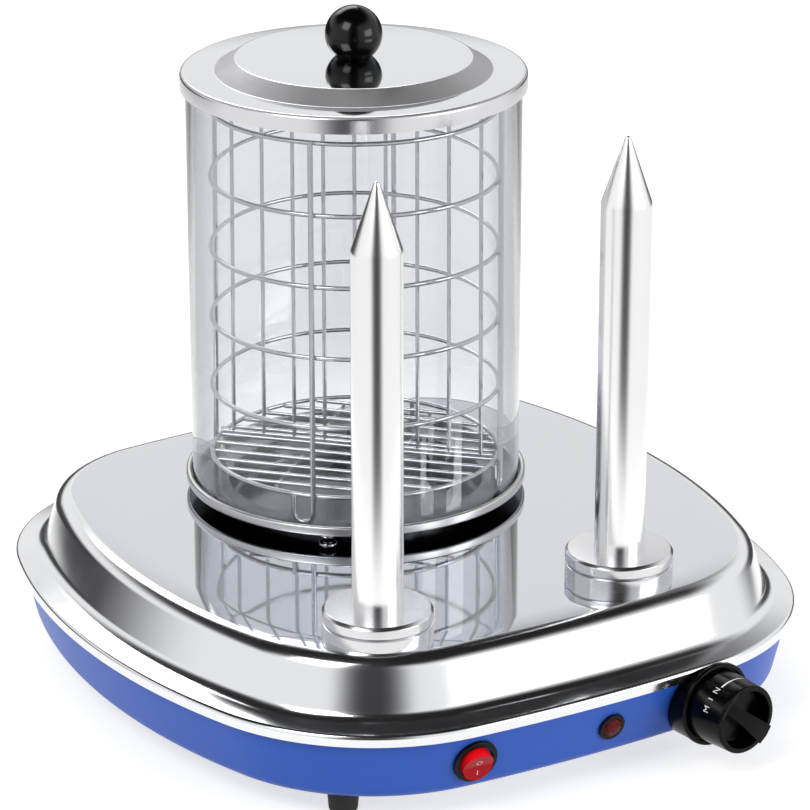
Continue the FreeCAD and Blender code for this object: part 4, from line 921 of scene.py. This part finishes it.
# %% [markdown]
# The rocker carries the plain signs for off and on, and the dial a small MIN with the thin arc
# that widens towards full heat. They are printed, so each is a thin skin just above its plastic.

# %% Marks on the rocker and the dial
PIVOT_DOWN, TILT_AT_REST = 2.0, 8.0
VALLEY, FACE_RISE, FACE_REACH = 5.8, 1.6, 8.0
PRINT_SKIN = 0.03


def printed(name, bm, matrix, body):
    """A print laid in its place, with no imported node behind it."""
    bmesh.ops.recalc_face_normals(bm, faces=bm.faces)
    piece = to_object(bm, name)
    piece.data.transform(matrix)
    return finish_piece(piece, white_print, body, smooth=None)


def on_paddle(y):
    """The place of a sign on the paddle, whose two halves rise from a valley in the middle."""
    slope = math.copysign(math.atan2(FACE_RISE, FACE_REACH), y)
    height = VALLEY + abs(y) * FACE_RISE / FACE_REACH + PRINT_SKIN
    tilt = Matrix.Rotation(math.radians(TILT_AT_REST), 4, "X")
    return (
        switch_seat @ Matrix.Translation((0, 0, -PIVOT_DOWN * MM)) @ tilt
        @ Matrix.Translation((0, y * MM, height * MM)) @ Matrix.Rotation(slope, 4, "X")
    )


bm = bmesh.new()
bmesh.ops.create_circle(bm, segments=40, radius=1.5 * MM)
made = bmesh.ops.extrude_edge_only(bm, edges=bm.edges[:])
inner_verts = [item for item in made["geom"] if isinstance(item, bmesh.types.BMVert)]
bmesh.ops.scale(bm, vec=(0.78, 0.78, 1), verts=inner_verts)
printed("mark_off", bm, on_paddle(2.6), "rocker")
bm = bmesh.new()
bmesh.ops.create_grid(
    bm, x_segments=1, y_segments=4, size=1.25 * MM, matrix=Matrix.Diagonal((0.16, 1, 1, 1)),
)
printed("mark_on", bm, on_paddle(-3.6), "rocker")

DIAL_LOW, DIAL_TALL, DIAL_RADIUS, DIAL_TAPER, DIAL_SKIN = 2.0, 22.4, 18.3, 0.9, 0.04


def wrap_on_dial(bm, name, angle, level):
    """Bends a flat print round the dial: its x runs round and up, its y runs towards the wall."""
    for vert in bm.verts:
        height = level * MM - vert.co.y
        share = (height / MM - DIAL_LOW) / DIAL_TALL
        radius = (DIAL_RADIUS - DIAL_TAPER * share + DIAL_SKIN) * MM
        turn = math.radians(angle) - vert.co.x / radius
        vert.co = Vector((radius * math.cos(turn), radius * math.sin(turn), height))
    return printed(name, bm, dial_seat, "dial")


PRINT_LEVEL = 13.7
for letter, angle in (("M", 158.5), ("I", 141.5), ("N", 125.0)):
    text = bpy.data.curves.new("letter", "FONT")
    text.body = letter
    text.size = 4.6 * MM
    text.align_x = "CENTER"
    text.align_y = "CENTER"
    holder = bpy.data.objects.new("letter", text)
    bm = bmesh.new()
    bm.from_mesh(bpy.data.meshes.new_from_object(holder))
    bmesh.ops.triangulate(bm, faces=bm.faces)
    bmesh.ops.subdivide_edges(bm, edges=bm.edges, cuts=2, use_grid_fill=True)
    wrap_on_dial(bm, "letter_" + letter, angle, PRINT_LEVEL)

ARC_LENGTH, ARC_THIN, ARC_GAIN = 14.5, 0.3, 0.75
bm = bmesh.new()
bmesh.ops.create_grid(bm, x_segments=60, y_segments=1, size=0.5)
for vert in bm.verts:
    width = ARC_THIN + ARC_GAIN * (0.5 - vert.co.x)
    vert.co = Vector((vert.co.x * ARC_LENGTH * MM, vert.co.y * width * MM, 0))
wrap_on_dial(bm, "heat_arc", 93.0, PRINT_LEVEL + 0.8)

# %% [markdown]
# The camera stands where the photograph was taken from: to the left, a little above, and far
# enough away for a long lens.

# %% Camera
camera_data = bpy.data.cameras.new("camera")
camera_data.lens = 168.34
camera_data.sensor_width = 36.0
camera_data.clip_end = 50.0
camera = bpy.data.objects.new("camera", camera_data)
camera.location = (-0.9282, -1.5860 + 0.060309, 0.8239)
camera.rotation_euler = (math.radians(90 - 20.88), 0, math.radians(-31.14))
bpy.context.scene.collection.objects.link(camera)
bpy.context.scene.camera = camera
print("camera at", tuple(camera.location))

# %% [markdown]
# The set is a plain pale floor under soft light. The camera, the glass and the metal see it a
# little brighter than it lights the piece, so that it fades into the white background. Metal sees
# only the near part of it, as a white sheet on a table would show, and the room beyond.

# %% Floor
SHEET_FROM, SHEET_TO, FLOOR_GLOW = 0.40, 0.55, 0.66
bm = bmesh.new()
bmesh.ops.create_grid(bm, x_segments=1, y_segments=1, size=6.0)
floor = to_object(bm, "floor")
floor_paint, tree, shader = new_material("white studio floor")
rays = add_node(tree, "ShaderNodeLightPath")
seen = rays.outputs["Is Camera Ray"]
for kind in ("Is Glossy Ray", "Is Transmission Ray"):
    seen = add_node(
        tree, "ShaderNodeMath", {"operation": "MAXIMUM"}, _0=seen, _1=rays.outputs[kind],
    ).outputs[0]
glow = add_node(tree, "ShaderNodeMath", {"operation": "MULTIPLY"}, _0=seen, _1=FLOOR_GLOW)
tree.links.new(glow.outputs[0], shader.inputs["Emission Strength"])
set_sockets(shader, Base_Color=linear("C4C4C2"), Roughness=0.9, Emission_Color=(1, 1, 1, 1))
coords = add_node(tree, "ShaderNodeTexCoord")
distance = add_node(
    tree, "ShaderNodeVectorMath", {"operation": "LENGTH"}, _0=coords.outputs["Object"],
)
edge = add_node(
    tree, "ShaderNodeMapRange", {"interpolation_type": "SMOOTHSTEP"},
    Value=distance.outputs["Value"], _1=SHEET_FROM, _2=SHEET_TO,
)
beyond = add_node(
    tree, "ShaderNodeMath", {"operation": "MULTIPLY"},
    _0=edge.outputs[0], _1=rays.outputs["Is Glossy Ray"],
)
sheet = add_node(
    tree, "ShaderNodeMixShader", _0=beyond.outputs[0], _1=shader.outputs[0],
    _2=add_node(tree, "ShaderNodeBsdfTransparent").outputs[0],
)
show_on(tree, sheet.outputs[0])
floor.data.materials.append(floor_paint)
print("floor glows by", FLOOR_GLOW, "where it is seen")

# %% [markdown]
# What polished metal shows is the room. The room is white except for four soft dark patches: the
# low part of the far wall, the ceiling over it, a patch behind the camera, and the ceiling right
# overhead. Their soft edges draw the shoulder of the cover, the groove and the bands on the
# spikes. Each patch is a bearing, a band of heights, or both at once.

# %% World
world = bpy.data.worlds.new("studio")
bpy.context.scene.world = world
world.use_nodes = True
tree = world.node_tree
tree.nodes.clear()
rays = add_node(tree, "ShaderNodeLightPath")
coords = add_node(tree, "ShaderNodeTexCoord")
way = add_node(tree, "ShaderNodeSeparateXYZ", Vector=coords.outputs["Generated"])
level = add_node(tree, "ShaderNodeCombineXYZ", X=way.outputs[0], Y=way.outputs[1])
bearing = add_node(
    tree, "ShaderNodeVectorMath", {"operation": "NORMALIZE"}, _0=level.outputs[0],
)


def soft_step(value, start, end):
    """0 before the start and 1 after the end, with an easy passage between them."""
    return add_node(
        tree, "ShaderNodeMapRange", {"interpolation_type": "SMOOTHSTEP"},
        Value=value, _1=start, _2=end,
    ).outputs[0]


def round_about(azimuth, inner, outer):
    """1 within an angle of an azimuth and 0 outside a wider one."""
    angle = math.radians(azimuth)
    near = add_node(
        tree, "ShaderNodeVectorMath", {"operation": "DOT_PRODUCT"},
        _0=bearing.outputs[0], _1=(math.cos(angle), math.sin(angle), 0),
    )
    return soft_step(
        near.outputs["Value"], math.cos(math.radians(outer)), math.cos(math.radians(inner)),
    )


def both(first, second):
    """1 only where the two are."""
    return add_node(
        tree, "ShaderNodeMath", {"operation": "MULTIPLY"}, _0=first, _1=second,
    ).outputs[0]


height = way.outputs[2]
low_band = both(soft_step(height, -0.30, -0.15), soft_step(height, 0.24, 0.10))
far_wall = both(round_about(70, 46, 80), low_band)
far_ceiling = both(round_about(100, 45, 80), soft_step(height, 0.38, 0.62))
tone = (1.0, 1.0, 1.0, 1)
for patch, grey in (
    (far_wall, 0.06),
    (far_ceiling, 0.05),
    (round_about(239, 2, 28), 0.05),
    (soft_step(height, 0.55, 0.82), 0.012),
):
    tone = add_node(
        tree, "ShaderNodeMix", {"data_type": "RGBA"},
        Factor=patch, A=tone, B=(grey, grey, grey * 1.05, 1),
    ).outputs[2]
soft = add_node(tree, "ShaderNodeBackground", Color=(1, 1, 1, 1), Strength=0.55)
white = add_node(tree, "ShaderNodeBackground", Color=(1, 1, 1, 1), Strength=1.0)
shiny = add_node(tree, "ShaderNodeBackground", Color=tone, Strength=1.0)
first = add_node(
    tree, "ShaderNodeMixShader", _0=rays.outputs["Is Glossy Ray"],
    _1=soft.outputs[0], _2=shiny.outputs[0],
)
either = add_node(
    tree, "ShaderNodeMath", {"operation": "MAXIMUM"},
    _0=rays.outputs["Is Camera Ray"], _1=rays.outputs["Is Transmission Ray"],
)
second = add_node(
    tree, "ShaderNodeMixShader", _0=either.outputs[0], _1=first.outputs[0], _2=white.outputs[0],
)
add_node(tree, "ShaderNodeOutputWorld", Surface=second.outputs[0])
print("nodes of the world:", len(tree.nodes))

# %% [markdown]
# Three large soft lamps: one high on the left, one low in front on the right, which whitens the
# front wall, and one behind that keeps the far side from going flat.

# %% Lamps
def lamp(name, place, size, power):
    """A soft rectangular lamp that looks at the middle of the piece."""
    data = bpy.data.lights.new(name, "AREA")
    data.shape = "RECTANGLE"
    data.size, data.size_y = size
    data.energy = power
    item = bpy.data.objects.new(name, data)
    item.location = place
    aim = Vector((0, 0, 0.12)) - Vector(place)
    item.rotation_euler = aim.to_track_quat("-Z", "Y").to_euler()
    bpy.context.scene.collection.objects.link(item)
    print("lamp", name, power, "W")


lamp("key", (-1.7, -0.6, 1.9), (1.2, 1.2), 24)
lamp("front", (1.0, -1.55, 0.62), (1.1, 0.7), 12)
lamp("back", (0.4, 1.8, 1.6), (1.6, 0.8), 14)

bpy.context.scene.view_settings.view_transform = "Standard"
